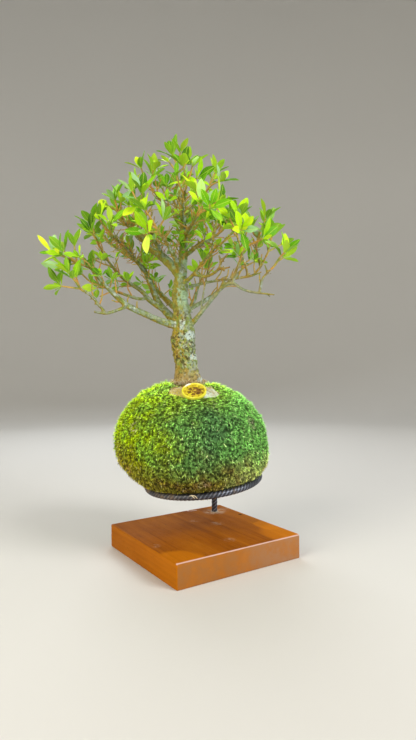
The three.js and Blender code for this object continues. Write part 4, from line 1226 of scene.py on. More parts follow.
limbs = {
    "stem": {"twigs": 4, "path": [
        (-14, 12, 184, 16.5), (-15, 12, 193, 14.6), (-16, 12, 206, 12.3), (-18, 12, 220, 12.9),
        (-19, 12, 232, 13.9), (-18, 12, 243, 12.6), (-19, 12, 254, 10.6), (-21, 12, 269, 9.4),
        (-22, 12, 283, 9), (-21, 12, 297, 7.8), (-20, 13, 311, 6.3), (-18, 14, 328, 5.4),
        (-17, 15, 345, 4.6), (-18, 16, 365, 3.8), (-20, 16, 384, 3), (-22, 15, 401, 2.3),
        (-23, 14, 411, 1.8)]},
    "lowLeft": {"twigs": 4, "path": [
        (-21, 10, 247, 6), (-41, 4, 253, 4), (-71, -10, 266, 3.4), (-82, -16, 273, 3.1),
        (-98, -23, 289, 2.4), (-107, -26, 300, 2), (-112, -28, 306, 1.6), (-121, -30, 310, 1.3)]},
    "lowLeftStub": {"from": "lowLeft", "path": [
        (-76, -13, 269, 2), (-86, -18, 264, 1.8), (-98, -24, 260, 1.7), (-109, -30, 261, 1.4)]},
    "bottomLeft": {"from": "lowLeftStub", "twigs": 4, "path": [
        (-98, -24, 260, 1.6), (-105, -29, 269, 1.6), (-110, -32, 276, 1.5), (-117, -36, 281, 1.3)]},
    "leftTwin": {"twigs": 4, "path": [
        (-20, 13, 248, 6), (-29, 16, 255, 5.2), (-38, 20, 265, 4.4), (-49, 24, 280, 3.8),
        (-62, 32, 311, 2.8), (-70, 38, 323, 2.5), (-90, 48, 338, 1.8), (-101, 52, 346, 1.4)]},
    "leftInner": {"from": "leftTwin", "twigs": 3, "path": [
        (-39, 20, 266, 3.4), (-55, 16, 277, 3), (-65, 12, 288, 2.6), (-86, 4, 303, 2),
        (-101, -2, 322, 1.4), (-106, -4, 331, 1.2)]},
    "leftBough": {"from": "leftTwin", "twigs": 3, "path": [
        (-62, 32, 311, 2.4), (-72, 22, 324, 2.1), (-82, 10, 336, 1.8), (-92, -4, 345, 1.4)]},
    "lowerTwig": {"from": "leftInner", "twigs": 3, "path": [
        (-58, 15, 280, 2), (-69, 6, 279, 1.9), (-86, -3, 284, 1.7), (-104, 3, 291, 1.3)]},
    "lowRight": {"path": [
        (-14, 10, 245, 6), (-7, 8, 253, 4), (1, 4, 262, 3.2), (25, -10, 288, 2.7),
        (36, -16, 291, 2.4), (46, -22, 284, 2), (57, -27, 280, 1.9), (78, -36, 276, 1.2)]},
    "rightShoot": {"from": "lowRight", "twigs": 3, "path": [
        (1, 4, 262, 1.6), (6, 1, 292, 1.4), (10, -3, 310, 1.3), (15, -12, 336, 1.1)]},
    "rightFan": {"from": "lowRight", "twigs": 3, "path": [
        (36, -16, 291, 1.7), (38, -20, 300, 1.6), (42, -25, 311, 1.4), (46, -30, 321, 1.2)]},
    "farRight": {"from": "lowRight", "twigs": 3, "path": [
        (63, -29, 279, 1.7), (65, -31, 291, 1.6), (69, -33, 297, 1.4), (74, -35, 302, 1.2)]},
    "rightRising": {"twigs": 4, "path": [
        (-20, 10, 291, 4.5), (-15, 6, 297, 3.8), (-7, 0, 303, 3.2), (15, -20, 326, 2.3),
        (25, -32, 331, 1.8), (33, -42, 337, 1.4)]},
    "bareSpur": {"from": "rightRising", "path": [
        (-6, -1, 303, 2), (8, -10, 300, 1.8), (20, -19, 305, 1.7), (23, -22, 313, 1.5),
        (21, -24, 320, 1.2)]},
    "bareSpurSide": {"from": "bareSpur", "path": [(23, -22, 312, 1.3), (31, -26, 321, 1.1)]},
    "bareSpurLow": {"from": "bareSpur", "path": [(20, -19, 305, 1.3), (33, -25, 307, 1.1)]},
    "rightLevel": {"twigs": 4, "path": [
        (-19, 14, 290, 3.6), (-5, 20, 295, 2.5), (16, 24, 300, 2.2), (57, 29, 306, 2.1),
        (66, 30, 312, 2.1), (72, 31, 320, 1.8), (76, 31, 328, 1.4)]},
    "rightLevelUp": {"from": "rightLevel", "twigs": 4, "path": [
        (70, 31, 317, 1.7), (68, 36, 330, 1.5), (66, 41, 342, 1.3), (68, 46, 350, 1.2)]},
    "rightLevelTwig": {"from": "rightLevel", "twigs": 3, "path": [
        (55, 29, 306, 1.7), (53, 26, 316, 1.5), (49, 20, 328, 1.3), (45, 14, 340, 1.2)]},
    "innerRight": {"twigs": 3, "path": [
        (-18, 13, 326, 3), (-10, 8, 330, 2.5), (-2, 4, 336, 2.3), (9, 2, 343, 2), (19, 4, 354, 1.5)]},
    "upperLeft": {"twigs": 4, "path": [
        (-21, 14, 302, 5.6), (-31, 20, 317, 5.3), (-45, 26, 331, 5), (-58, 32, 342, 4.2),
        (-68, 40, 355, 3.2), (-74, 46, 364, 2.4), (-78, 50, 372, 1.7)]},
    "leftShoulder": {"from": "upperLeft", "twigs": 3, "path": [
        (-58, 32, 342, 2.6), (-68, 20, 352, 2.2), (-77, 9, 358, 1.8), (-84, 0, 367, 1.4)]},
    "topLeft": {"twigs": 4, "path": [
        (-18, 16, 362, 2.8), (-30, 12, 376, 2.4), (-41, 8, 387, 1.9), (-49, 6, 397, 1.5)]},
    "topRight": {"twigs": 3, "path": [
        (-18, 16, 368, 2.6), (-8, 13, 380, 2.1), (0, 12, 388, 1.7), (5, 12, 394, 1.4)]},
    "frontLeft": {"twigs": 4, "path": [
        (-20, 13, 309, 3.4), (-27, -8, 322, 2.6), (-33, -28, 332, 2), (-38, -44, 337, 1.5)]},
    "frontRight": {"twigs": 4, "path": [
        (-18, 14, 334, 3), (-14, -6, 344, 2.4), (-6, -26, 352, 1.9), (0, -42, 356, 1.4)]},
    "frontCentre": {"twigs": 3, "path": [
        (-18, 16, 356, 2.6), (-18, 0, 368, 2.2), (-16, -16, 379, 1.7), (-13, -28, 387, 1.4)]},
    "frontMid": {"from": "upperLeft", "twigs": 3, "path": [
        (-40, 24, 326, 3), (-48, 4, 340, 2.4), (-54, -14, 352, 1.9), (-58, -30, 361, 1.4)]},
    "backLow": {"twigs": 3, "path": [
        (-20, 14, 258, 5), (-14, 38, 268, 3.6), (-8, 62, 282, 2.8), (-4, 84, 299, 2),
        (0, 98, 312, 1.5)]},
    "backLeft": {"twigs": 3, "path": [
        (-21, 13, 264, 5), (-36, 40, 278, 3.6), (-50, 62, 294, 2.8), (-60, 80, 310, 2),
        (-68, 92, 322, 1.5)]},
    "backRight": {"from": "backLow", "twigs": 3, "path": [
        (-13, 42, 270, 3), (6, 54, 282, 2.6), (24, 66, 296, 2.2), (38, 76, 310, 1.8),
        (48, 83, 320, 1.4)]},
    "backUpper": {"twigs": 3, "path": [
        (-18, 14, 330, 3.4), (-16, 36, 342, 2.6), (-14, 56, 354, 2), (-12, 70, 363, 1.5)]},
    "backTop": {"twigs": 3, "path": [
        (-18, 16, 360, 2.8), (-22, 32, 376, 2.2), (-26, 44, 390, 1.7), (-30, 50, 399, 1.4)]},
    "backShoulder": {"from": "innerRight", "twigs": 3, "path": [
        (-4, 5, 335, 2.2), (10, 24, 346, 1.9), (19, 38, 354, 1.6), (25, 46, 361, 1.3)]},
}


def rootLimbs():
    # puts each limb's first point on the middle line of the limb that it grows from
    for name, limb in limbs.items():
        if name == "stem":
            continue
        start = np.array(limb["path"][0][:3], float)
        line = np.array(limbs[limb.get("from", "stem")]["path"], float)[:, :3]
        best = None
        for a, b in zip(line[:-1], line[1:]):
            share = np.clip((start - a) @ (b - a) / ((b - a) @ (b - a)), 0, 1)
            near = a + share * (b - a)
            distance = np.linalg.norm(near - start)
            if best is None or distance < best[0]:
                best = (distance, near)
        limb["path"][0] = (*best[1], limb["path"][0][3])


def smoothPath(path, spacing):
    # a rounded line through the points, with a radius for each of its own points
    path = np.array(path, float)
    padded = np.vstack([2 * path[0] - path[1], path, 2 * path[-1] - path[-2]])
    out = []
    for p0, p1, p2, p3 in zip(padded, padded[1:], padded[2:], padded[3:]):
        steps = max(2, round(np.linalg.norm(p2[:3] - p1[:3]) / spacing))
        for t in np.arange(steps) / steps:
            out.append(0.5 * (2 * p1 + (p2 - p0) * t + (2 * p0 - 5 * p1 + 4 * p2 - p3) * t ** 2
                              + (3 * p1 - p0 - 3 * p2 + p3) * t ** 3))
    return np.array(out + [path[-1]])


rootLimbs()


# How the sprays grow: each twig ends in a rosette of leaves

growth = {
    "seed": 63, "forkDistance": (5, 8), "forkRadius": 1.2, "twigRadius": 0.85, "twigReach": (12, 24),
    "twigSpread": (38, 72), "leaderSpread": (5, 32), "upwardPull": 0.4, "knobRadius": 1.1,
    "leaves": (4, 5), "leafLength": (16, 24), "leafWidth": 0.42, "leafFold": 0.3,
    "leafSpread": (40, 76), "leafCurl": (0.02, 0.2), "goldenAngle": 137.5, "ballSpacing": 4,
    "clearance": 0.9, "tries": 12, "gap": 0.3,
}


class SeededRandom:
    # the same repeatable numbers from 0 to 1 that set out the solid sprays
    def __init__(self, seed):
        self.state = seed

    def draw(self):
        whole = 0xFFFFFFFF
        self.state = (self.state + 0x6D2B79F5) & whole
        mixed = ((self.state ^ (self.state >> 15)) * (self.state | 1)) & whole
        mixed = ((mixed + (mixed ^ (mixed >> 7)) * (mixed | 61)) & whole) ^ mixed
        return (mixed ^ (mixed >> 14)) / 4294967296

    def between(self, limits):
        return limits[0] + (limits[1] - limits[0]) * self.draw()


takenBalls = []


def isFree(balls):
    taken = np.array(takenBalls)
    balls = np.array(balls)
    distance = np.linalg.norm(balls[:, None, :3] - taken[None, :, :3], axis=2)
    return bool(np.all(distance > balls[:, None, 3] + taken[None, :, 3] + growth["clearance"]))


def acrossFrom(along):
    side = np.array([-along[1], along[0], 0.0])
    side = unit(side) if np.linalg.norm(side) >= 0.1 else np.array([1.0, 0, 0])
    return side, np.cross(along, side)


def outward(across, turn):
    return across[0] * math.cos(turn) + across[1] * math.sin(turn)


def anyWayOff(random, along):
    # a way square to a line, at a random turn about it
    return outward(acrossFrom(along), random.random() * 2 * math.pi)


def leaning(along, out, angle):
    return along * math.cos(angle) + out * math.sin(angle)


def leafPoint(leaf, share, width, lift=0.0):
    side = np.cross(leaf["up"], leaf["along"])
    middle = leaf["base"] + leaf["along"] * leaf["length"] * share
    middle = middle - leaf["up"] * leaf["curl"] * leaf["length"] * share ** 2
    rise = abs(width) * growth["leafFold"] * leaf["half"] + lift
    return middle + side * width * leaf["half"] + leaf["up"] * rise


def leafBalls(leaf):
    balls = [(*leafPoint(leaf, share, 0), 0.9) for share in (0.25, 0.45, 0.65, 0.85, 1)]
    for share, width in ((0.32, 0.4), (0.48, 0.75), (0.64, 0.5), (0.76, 0.85), (0.9, 0.4)):
        for place in (-width, width):
            balls.append((*leafPoint(leaf, share, place), 0.26 * leaf["half"]))
    return balls


def tubeBalls(start, end):
    return [(*(start + (end - start) * share), 1.2) for share in (0.5, 0.75, 1)]


def growLeaf(random, point, along, out, count):
    for _ in range(growth["tries"]):
        spread = math.radians(random.between(growth["leafSpread"]))
        length = random.between(growth["leafLength"])
        room = 0.72 * length * math.sin(spread) * math.tan(math.pi / count) * 0.92
        leaf = {
            "base": point + out * growth["knobRadius"] * math.cos(math.pi / count),
            "along": leaning(along, out, spread),
            "up": along * math.sin(spread) - out * math.cos(spread),
            "length": length, "half": min(length * growth["leafWidth"] / 2, room),
            "curl": random.between(growth["leafCurl"]),
        }
        if isFree(leafBalls(leaf)):
            return leaf
    return None


def growTwig(random, path):
    point = path[-1][:3]
    along = unit(point - path[-2][:3])
    low, high = growth["leaves"]
    count = math.floor(random.between((low, high + 1)))
    start = random.draw() * 2 * math.pi
    across = acrossFrom(along)
    leaves = []
    for i in range(count):
        turn = start + (i + 0.5) / count * 2 * math.pi
        leaves.append(growLeaf(random, point, along, outward(across, turn), count))
    return {"path": path, "point": point, "along": along, "across": across,
            "leaves": [leaf for leaf in leaves if leaf]}


def growSpray(path, twigCount, number):
    random = SeededRandom(growth["seed"] * 1000 + number)
    end = path[-1][:3]
    along = unit(end - path[-2][:3])
    across = acrossFrom(along)
    turnStart = random.draw() * 2 * math.pi
    fork = end + along * random.between(growth["forkDistance"])
    twigs = []
    for i in range(twigCount):
        for attempt in range(growth["tries"]):
            isLeader = i == 0
            turn = turnStart + i * math.radians(growth["goldenAngle"]) + 0.6 * (random.draw() - 0.5)
            limits = growth["leaderSpread"] if isLeader else growth["twigSpread"]
            spread = math.radians(random.between(limits))
            out = leaning(along, outward(across, turn), spread)
            out[2] += growth["upwardPull"]
            out = unit(out)
            tip = fork + out * random.between(growth["twigReach"])
            lastTry = isLeader and attempt == growth["tries"] - 1
            if not lastTry and not isFree(tubeBalls(fork, tip)):
                continue
            line = [np.array([*fork, growth["forkRadius"]]), np.array([*tip, growth["twigRadius"]])]
            if isLeader:
                line.insert(0, np.array([*(end + along * growth["gap"]), path[-1][3]]))
            twig = growTwig(random, line)
            takenBalls.extend(tubeBalls(fork, tip))
            for leaf in twig["leaves"]:
                takenBalls.extend(leafBalls(leaf))
            twigs.append(twig)
            break
    return twigs


def takeLimbs():
    for limb in limbs.values():
        path = np.array(limb["path"], float)
        if "twigs" in limb:
            along = unit(path[-1][:3] - path[-2][:3])
            for distance in (3, 6):
                takenBalls.append((*(path[-1][:3] + along * distance), growth["forkRadius"]))
        for i in range(1, len(path)):
            steps = math.ceil(np.linalg.norm(path[i][:3] - path[i - 1][:3]) / growth["ballSpacing"])
            for step in range(0 if i == 1 else 1, steps + 1):
                takenBalls.append(tuple(path[i - 1] + (path[i] - path[i - 1]) * step / steps))


def growSprays():
    takeLimbs()
    sprays = {}
    leafy = [limb for limb in limbs.values() if "twigs" in limb]
    for number, limb in enumerate(leafy, 1):
        path = np.array(limb["path"], float)
        sprays[f"spray_{number:02d}"] = {"path": path, "twigs": growSpray(path, limb["twigs"], number)}
    return sprays


sprays = growSprays()
print("sprays grown:", sum(len(twig["leaves"]) for spray in sprays.values() for twig in spray["twigs"]))


# Bark of the trunk and limbs

barkLook = {
    "root": [(-14, 12, 142, 6), (-14, 12, 160, 10), (-14, 12, 176, 14)],
    "flares": [
        [(-9, 8, 199, 6), (-4, 5, 190, 5.5), (-1, 2, 178, 5)],
        [(-20, 8, 197, 5.5), (-23, 5, 189, 5), (-25, 2, 177, 4.5)],
        [(-16, 18, 198, 7), (-14, 25, 189, 5.5), (-12, 28, 177, 5)],
    ],
    "spacing": 2.5, "voxel": 0.95, "rounding": 3, "stout": (2.2, 9.0), "knotSize": 9, "knotHeight": 3.4,
    "grainSize": 3.0, "grainHeight": 2.4, "thinSize": 3.4, "thinHeight": 0.6,
    "stubs": 90, "stubLength": (2.0, 5.5), "stubRadius": (0.7, 1.05), "seed": 5,
    "ochre": (0.36, 0.27, 0.014), "orange": (0.4, 0.18, 0.02), "green": (0.22, 0.29, 0.045),
    "grey": (0.31, 0.39, 0.29), "lichen": (0.56, 0.68, 0.66), "crack": (0.055, 0.042, 0.012),
    # pale is painted light on the cool side of the upper stem
    "crumb": (0.58, 0.49, 0.23), "pale": (0.42, 0.62, 0.42), "oldRoot": (0.38, 0.23, 0.1),
    "twigTints": [(0.38, (0.22, 0.29, 0.045)), (0.48, (0.5, 0.37, 0.07)), (0.58, (0.58, 0.3, 0.05))],
    "rustSpots": [(30, 308, 18), (62, 307, 20), (-64, 308, 22), (-40, 330, 16), (-30, 245, 9),
                  (-60, 350, 30)],
    "lichenSpots": [(-22, 250, 9), (-11, 237, 8), (-8, 214, 6), (0, 189, 5)],
    "greySpots": [(8, 272, 22), (46, 282, 26)],
    "slimmer": {"lowRight": 0.78, "rightRising": 0.7, "rightLevel": 0.78, "rightShoot": 0.85},
    "knobs": [[(22, -9, 285, 2.1), (25, -10.5, 291, 1.8), (27, -11.5, 296, 1.4)]],
    "footBand": (190, 204), "plainBand": (255, 268), "paleBand": (262, 276),
    "grain": {
        "blotch": (11, 3.0, 0.6), "warm": (7, 3.0, 0.55, 0.46, 0.6), "cool": (7, 4.0, 0.55, 0.42, 0.6),
        "rust": (12, 4.0, 0.65, 0.5, 0.6), "lichen": (6, 4.0, 0.65, 0.58, 0.66),
        "crumbs": (2.8, 2.0, 0.5, 0.55, 0.62), "cracks": (3.1, 3.0, 0.6, 0.43, 0.51, 1, 0),
        "pits": (1.3, 4.0, 0.7), "twig": (9, 4.0, 0.65), "twigRings": (1.6, 3.0, 0.55, 0.56, 0.66),
        "twigPits": (1.2, 3.0),
    },
    "share": {
        "plain": 0.4, "rusty": (0.2, 0.3), "young": (0.1, 0.5), "upper": 0.7, "faded": 0.6, "foot": 0.6,
        "lichen": (0.8, 0.55), "crumbs": (0.25, 0.35), "cracks": (0.35, 0.5), "spots": 0.2,
    },
    "fades": {
        "stout": (0.25, 0.75), "isStem": (0.3, 0.5), "young": (0.1, 0.2, 1, 0), "right": (-0.1, 0.5),
        "crust": (-0.3, 0.3),
    },
    "thickest": 12, "coolLightSide": (1, -0.25, 0.2), "stubLean": (0.2, 1.0), "rounds": 3,
}


def tubes(name, paths, rounding):
    # round bars of changing radius along lines of [u, v, z, radius]
    curve = bpy.data.curves.new(name, "CURVE")
    curve.dimensions = "3D"
    curve.bevel_depth = mm
    curve.bevel_resolution = rounding
    curve.use_fill_caps = True
    for path in paths:
        path = np.array(path, float)
        spline = curve.splines.new("POLY")
        spline.points.add(len(path) - 1)
        for point, place, radius in zip(spline.points, fromPlant(path[:, :3]), path[:, 3]):
            point.co = (*place, 1)
            point.radius = radius
    onlySelect(showData(name, curve))
    bpy.ops.object.convert(target="MESH")
    return named(name)


def limbStubs(lines):
    # short dead spurs that stand off the limbs
    look = barkLook
    random = np.random.default_rng(look["seed"])
    stubs = []
    for _ in range(look["stubs"]):
        line = lines[random.integers(len(lines))]
        i = random.integers(len(line) // 4, len(line) - 1)
        point, along = line[i], unit(line[i + 1][:3] - line[i][:3])
        aim = unit(anyWayOff(random, along) + along * random.uniform(*look["stubLean"]))
        radius = min(random.uniform(*look["stubRadius"]), point[3] * 0.8)
        tip = point[:3] + aim * (point[3] + random.uniform(*look["stubLength"]))
        stubs.append([point[:3].tolist() + [radius * 1.3], tip.tolist() + [radius * 0.7]])
    return stubs


def buildTree():
    look = barkLook
    lines = {name: smoothPath(limb["path"], look["spacing"]) for name, limb in limbs.items()}
    for name, share in look["slimmer"].items():
        lines[name][:, 3] *= share
    stem = np.vstack([look["root"], lines["stem"]])
    paths = [stem] + [line for name, line in lines.items() if name != "stem"]
    paths += [smoothPath(extra, look["spacing"]) for extra in look["flares"] + look["knobs"]]
    tree = tubes("treeBark", paths + limbStubs(list(lines.values())), look["rounds"])
    remesh(tree, look["voxel"], look["rounding"])
    near = KDTree(sum(len(path) for path in paths))
    radii = []
    for path in paths:
        for place, radius in zip(fromPlant(np.array(path)[:, :3]), np.array(path)[:, 3]):
            near.insert(place, len(radii))
            radii.append(radius)
    near.balance()
    thick = np.array([radii[near.find(vertex.co)[1]] for vertex in tree.data.vertices])
    low, high = look["stout"]
    weights = np.clip((thick - low) / (high - low), 0.0, 1)
    for name, shares in (("stout", weights), ("slender", 1 - weights)):
        group = tree.vertex_groups.new(name=name)
        for i, share in enumerate(shares):
            group.add([i], share, "REPLACE")
    roughen(tree, look["knotSize"], look["knotHeight"], group="stout")
    roughen(tree, look["grainSize"], look["grainHeight"], depth=1, group="stout")
    roughen(tree, look["thinSize"], look["thinHeight"], group="slender")
    addValues(tree, "thick", np.clip(thick / look["thickest"], 0, 1))
    normals = np.array([vertex.normal for vertex in tree.data.vertices])
    # side: how far each point faces the cool light, which sets the painted warm and cool light on the bark
    addValues(tree, "side", normals @ np.array(plantToPart @ Vector(look["coolLightSide"])))
    smooth(tree, 180)
    return dress(tree, barkFinish(), "bark", "trunk")


def barkFinish():
    # warm on the left and cool on the right, by which way the bark faces: partly its own colour and partly
    # painted light.
    # The upper stem is plainer and paler on its cool side, that pale being painted light, the old foot
    # browner, and the young twigs redder. A share of two numbers is a start and what a mask adds to it.
    look = barkLook
    grain, fades = look["grain"], look["fades"]
    bark = Finish("roughBark", Roughness=0.8)
    thick, side = bark.value("thick"), bark.value("side")
    u, _, z = bark.plantPlace()
    blotch = bark.noise(*grain["blotch"]) - 0.5

    def shareOf(name, mask=None):
        share = look["share"][name]
        return share if mask is None else share[0] + mask * share[1]

    stout = bark.fade(thick, *fades["stout"])
    isStem = bark.fade(thick, *fades["isStem"])
    young = bark.fade(thick + blotch * 0.12, *fades["young"])
    # painted light, in part: which way the bark faces picks warm or cool colours, and the upper stem is
    # paler on its cool side
    right = bark.fade(side + blotch * 1.6, *fades["right"])
    plain = bark.band(z, look["plainBand"]) * isStem
    warm = bark.mix(bark.patches(*grain["warm"]), look["ochre"], look["green"])
    cool = bark.mix(bark.patches(*grain["cool"]), look["green"], look["grey"])
    rusty = bark.patches(*grain["rust"]) * (1 - right * 0.7) * (1 - plain * 0.6)
    upper = bark.band(z, look["paleBand"]) * isStem * right
    faded = bark.spots(look["greySpots"], u, z) * (1 - stout)
    foot = bark.band(z + blotch * 0.012, look["footBand"], 1, 0)
    spots = bark.spots(look["lichenSpots"], u, z) * shareOf("spots")
    crust = bark.patches(*grain["lichen"], add=spots) * bark.fade(side, *fades["crust"])
    crumbs = bark.patches(*grain["crumbs"]) * (1 - plain * 0.7)
    cracks = bark.patches(*grain["cracks"])
    bark.set("Base Color", bark.layers(
        bark.mix(right, warm, cool),
        (plain * (1 - right) * shareOf("plain"), look["green"]),
        (rusty * shareOf("rusty", stout), look["orange"]),
        (young * shareOf("young", bark.spots(look["rustSpots"], u, z)), look["orange"]),
        (upper * shareOf("upper"), look["pale"]),
        (faded * shareOf("faded"), look["grey"]),
        (foot * shareOf("foot"), look["oldRoot"]),
        (crust * shareOf("lichen", -1 * plain), look["lichen"]),
        (crumbs * shareOf("crumbs", stout), look["crumb"]),
        (cracks * shareOf("cracks", stout) * (1 - plain * 0.6), look["crack"]),
    ))
    bark.bump(bark.noise(*grain["pits"]) - cracks * 0.7, 0.5, 0.8)
    return bark


# Leafy sprays: the solid sprays' twigs and rosettes, with young leaves and side twigs between them

leafLook = {
    "rows": [(0.1, 0.16), (0.27, 0.58), (0.45, 0.92), (0.61, 1.0), (0.79, 0.77), (0.93, 0.36)],
    "columns": [-1, -0.5, 0, 0.5, 1, 0.5, 0, -0.5], "thickness": 0.28, "fold": 0.3, "wave": 0.1,
    "longer": 1.02, "wider": 0.94, "raised": 12, "upwardPull": 0.3, "veins": 9, "veinSlant": 2.2,
    "waves": 9, "taper": 6, "upper": 5, "baseOut": 0.5, "curl": (0.0, 0.14), "tone": (0.05, 0.95),
    "step": 2.0, "bentStep": 3.0, "sway": 0.7,
    "young": (2, 4), "youngLength": (6, 13), "youngSpread": (8, 34), "youngWidth": 0.36,
    "youngTone": (0.6, 1.0), "sideTone": (0.1, 0.8), "sideSway": 0.8, "uneven": (0.6, 1.4), "leafTries": 4,
    "sideTwigs": 9.0, "sideReach": (9, 22), "sideSpread": (35, 70), "sideLeaves": (3, 5),
    "sideFrom": 0.38, "sidePull": 0.45, "sideRadii": (0.95, 0.8, 0.65), "sideLeafSpread": (28, 72),
    "sideLength": (9, 17), "bareShare": 0.25, "bareBelow": {"left": 288, "right": 322, "between": -10},
    "seed": 3,
    "greens": [(0.0, (0.025, 0.1, 0.002)), (0.35, (0.14, 0.45, 0.003)), (0.7, (0.52, 0.93, 0.005)),
               (1.0, (0.82, 0.96, 0.03))],
    "yellow": (0.82, 0.96, 0.03), "under": (0.28, 0.54, 0.04), "vein": (0.6, 0.82, 0.1),
    # mint is the colour of a painted sheen on some leaves
    "sheenMint": (0.55, 0.86, 0.52), "grain": {"drift": (7, 3.0), "sheen": (4, 3.0)},
    "share": {"drift": 0.3, "under": 0.6, "rib": 0.65, "veins": 0.22},
    "fades": {
        "paintedSheen": (0.84, 0.92), "paintedSheenTone": (0.6, 0.85, 0.6, 0.15), "rib": (0.02, 0.1, 1, 0),
        "veins": (0.75, 1.0), "veinEnds": (0.85, 1.0, 1, 0), "base": (0.0, 0.22, 0.5, 0),
        "edge": (0.86, 1.0, 0, 0.3),
    },
}
tangleLook = {
    "spacing": 3.6, "from": 0.3, "least": {"left": 300, "right": 334}, "length": (3.5, 7.5),
    "lean": (0.6, 1.3), "kinks": 3, "kink": 38, "upwardPull": 0.2, "radius": (0.56, 0.3),
    "dense": (-66, 5, 350), "denseReach": 36, "denseCount": 4,
}

farTwig = {
    "spray": "spray_02", "path": [(-119, -30, 309, 1.2), (-137, -32, 317, 0.9), (-151, -31, 322, 0.7)],
    "leaves": [
        {"along": (-0.62, 0, 0.78), "length": 25, "half": 2.6, "tone": 1.0},
        {"along": (0.06, 0.1, 1), "length": 20, "half": 4.3, "tone": 0.4},
        {"along": (-0.97, -0.2, 0.05), "length": 13, "half": 2.2, "tone": 0.3},
        {"along": (-0.3, 0.8, 0.4), "length": 16, "half": 3.0, "tone": 0.6},
    ],
    "facing": (0, -0.9, 0.4), "curl": 0.08,
}


def leafFinish():
    look = leafLook
    grain, share, fades = look["grain"], look["share"], look["fades"]
    leaf = Finish("azaleaLeaf", Roughness=0.4, Specular_IOR_Level=0.12)
    tone, along, under = leaf.value("tone"), leaf.value("along"), leaf.value("under")
    across = abs(leaf.value("across"))
    drift = (leaf.noise(*grain["drift"]) - 0.5) * share["drift"]
    # painted highlight: a pale mint sheen on about one leaf in eight, less on the lighter-toned ones
    paintedSheen = leaf.fade(leaf.value("pale"), *fades["paintedSheen"]) * leaf.fade(tone, *fades["paintedSheenTone"])
    rib = leaf.fade(across, *fades["rib"])
    wave = along.math("SINE", (along * look["veins"] - across * look["veinSlant"]) * (2 * math.pi))
    veins = leaf.fade(wave, *fades["veins"]) * leaf.fade(across, *fades["veinEnds"])
    leaf.set("Base Color", leaf.layers(
        leaf.ramp(tone + drift, *look["greens"]),
        (leaf.fade(along, *fades["base"]), look["yellow"]),
        (under * share["under"], look["under"]), (paintedSheen, look["sheenMint"]),
        (rib * share["rib"] + veins * share["veins"], look["vein"]),
        (leaf.fade(across, *fades["edge"]), look["yellow"]),
    ))
    leaf.set("Roughness", 0.36 + under * 0.25 + leaf.noise(*grain["sheen"]) * 0.12)
    leaf.bump(1 - rib - veins * 0.5, 0.35, 0.6)
    return leaf


def twigFinish():
    look = barkLook
    grain = look["grain"]
    twig = Finish("youngTwig", Roughness=0.65)
    colour = twig.ramp(twig.noise(*grain["twig"]), *look["twigTints"])
    rings = twig.patches(*grain["twigRings"])
    twig.set("Base Color", twig.mix(rings * 0.5, colour, look["crack"]))
    twig.bump(twig.noise(*grain["twigPits"]), 0.2)
    return twig


def bladeFaces(ring, last):
    # the faces of one closed blade, strip by strip from base to tip, and which are underneath
    faces, lower = [], []
    for i in range(ring):
        j = (i + 1) % ring
        strip = [(0, 1 + i, 1 + j)]
        for here in range(1, last - ring, ring):
            strip.append((here + i, here + ring + i, here + ring + j, here + j))
        strip.append((last - ring + i, last, last - ring + j))
        faces += strip
        lower += [i >= leafLook["upper"] - 1] * len(strip)
    return faces, lower


def leafMesh(name, leaves, random):
    # every leaf a closed, folded blade with its edges a little waved
    look = leafLook
    rows = [(0.0, 0.0, 0.0)]
    rows += [(t, column * width, 1.0 if i < look["upper"] else -1.0)
             for t, width in look["rows"] for i, column in enumerate(look["columns"])]
    rows.append((1.0, 0.0, 0.0))
    shape = np.array(rows)
    t, s, face = shape.T
    widest = np.array([0] + [width for _, width in look["rows"] for _ in look["columns"]] + [1])
    bulge = np.where(widest > 0, 1 - (s / np.maximum(widest, 1e-6)) ** 2, 0) * face
    read = {key: np.array([leaf[key] for leaf in leaves]) for key in leaves[0]}
    length, half = read["length"][:, None], read["half"][:, None]
    along, up, base = (read[key][:, None, :] for key in ("along", "up", "base"))
    side = np.cross(up, along)
    phase = random.random((len(leaves), 1)) * 2 * math.pi
    wave = look["wave"] * half * np.abs(s) * np.sin(phase + t * look["waves"] + np.sign(s))
    rise = np.abs(s) * look["fold"] * half - read["curl"][:, None] * length * t ** 2
    rise = rise + bulge * look["thickness"] * np.minimum(t * look["taper"], 1) + wave
    points = base + along * (length * t)[..., None] + side * (half * s)[..., None] + up * rise[..., None]
    pattern, lower = bladeFaces(len(look["columns"]), len(shape) - 1)
    faces = []
    for number in range(len(leaves)):
        faces += [tuple(index + number * len(shape) for index in face) for face in pattern]
    obj = meshFrom(name, fromPlant(points.reshape(-1, 3)), faces)
    addValues(obj, "tone", np.repeat(read["tone"], len(shape)))
    # pale: a random number for each leaf, which picks the leaves that take the painted sheen
    addValues(obj, "pale", np.repeat(random.random(len(leaves)), len(shape)))
    addValues(obj, "across", np.tile(s, len(leaves)))
    addValues(obj, "along", np.tile(t, len(leaves)))
    addValues(obj, "under", np.tile(lower, len(leaves)), "FACE")
    return obj


def rosetteLeaf(random, point, along, out, length, spread, width):
    return {
        "base": point + out * leafLook["baseOut"], "along": leaning(along, out, spread),
        "up": along * math.sin(spread) - out * math.cos(spread), "length": length,
        "half": length * width / 2, "curl": random.uniform(*leafLook["curl"]),
    }


def howMany(random, limits):
    return random.integers(limits[0], limits[1] + 1)


def lift(leaf):
    # turns a leaf up towards its twig and the light, about its own base
    look = leafLook
    angle = math.radians(look["raised"])
    along = leaning(leaf["along"], leaf["up"], angle) + np.array([0, 0, look["upwardPull"]])
    along = unit(along)
    up = leaning(leaf["up"], -leaf["along"], angle)
    leaf["along"], leaf["up"] = along, unit(up - along * (up @ along))


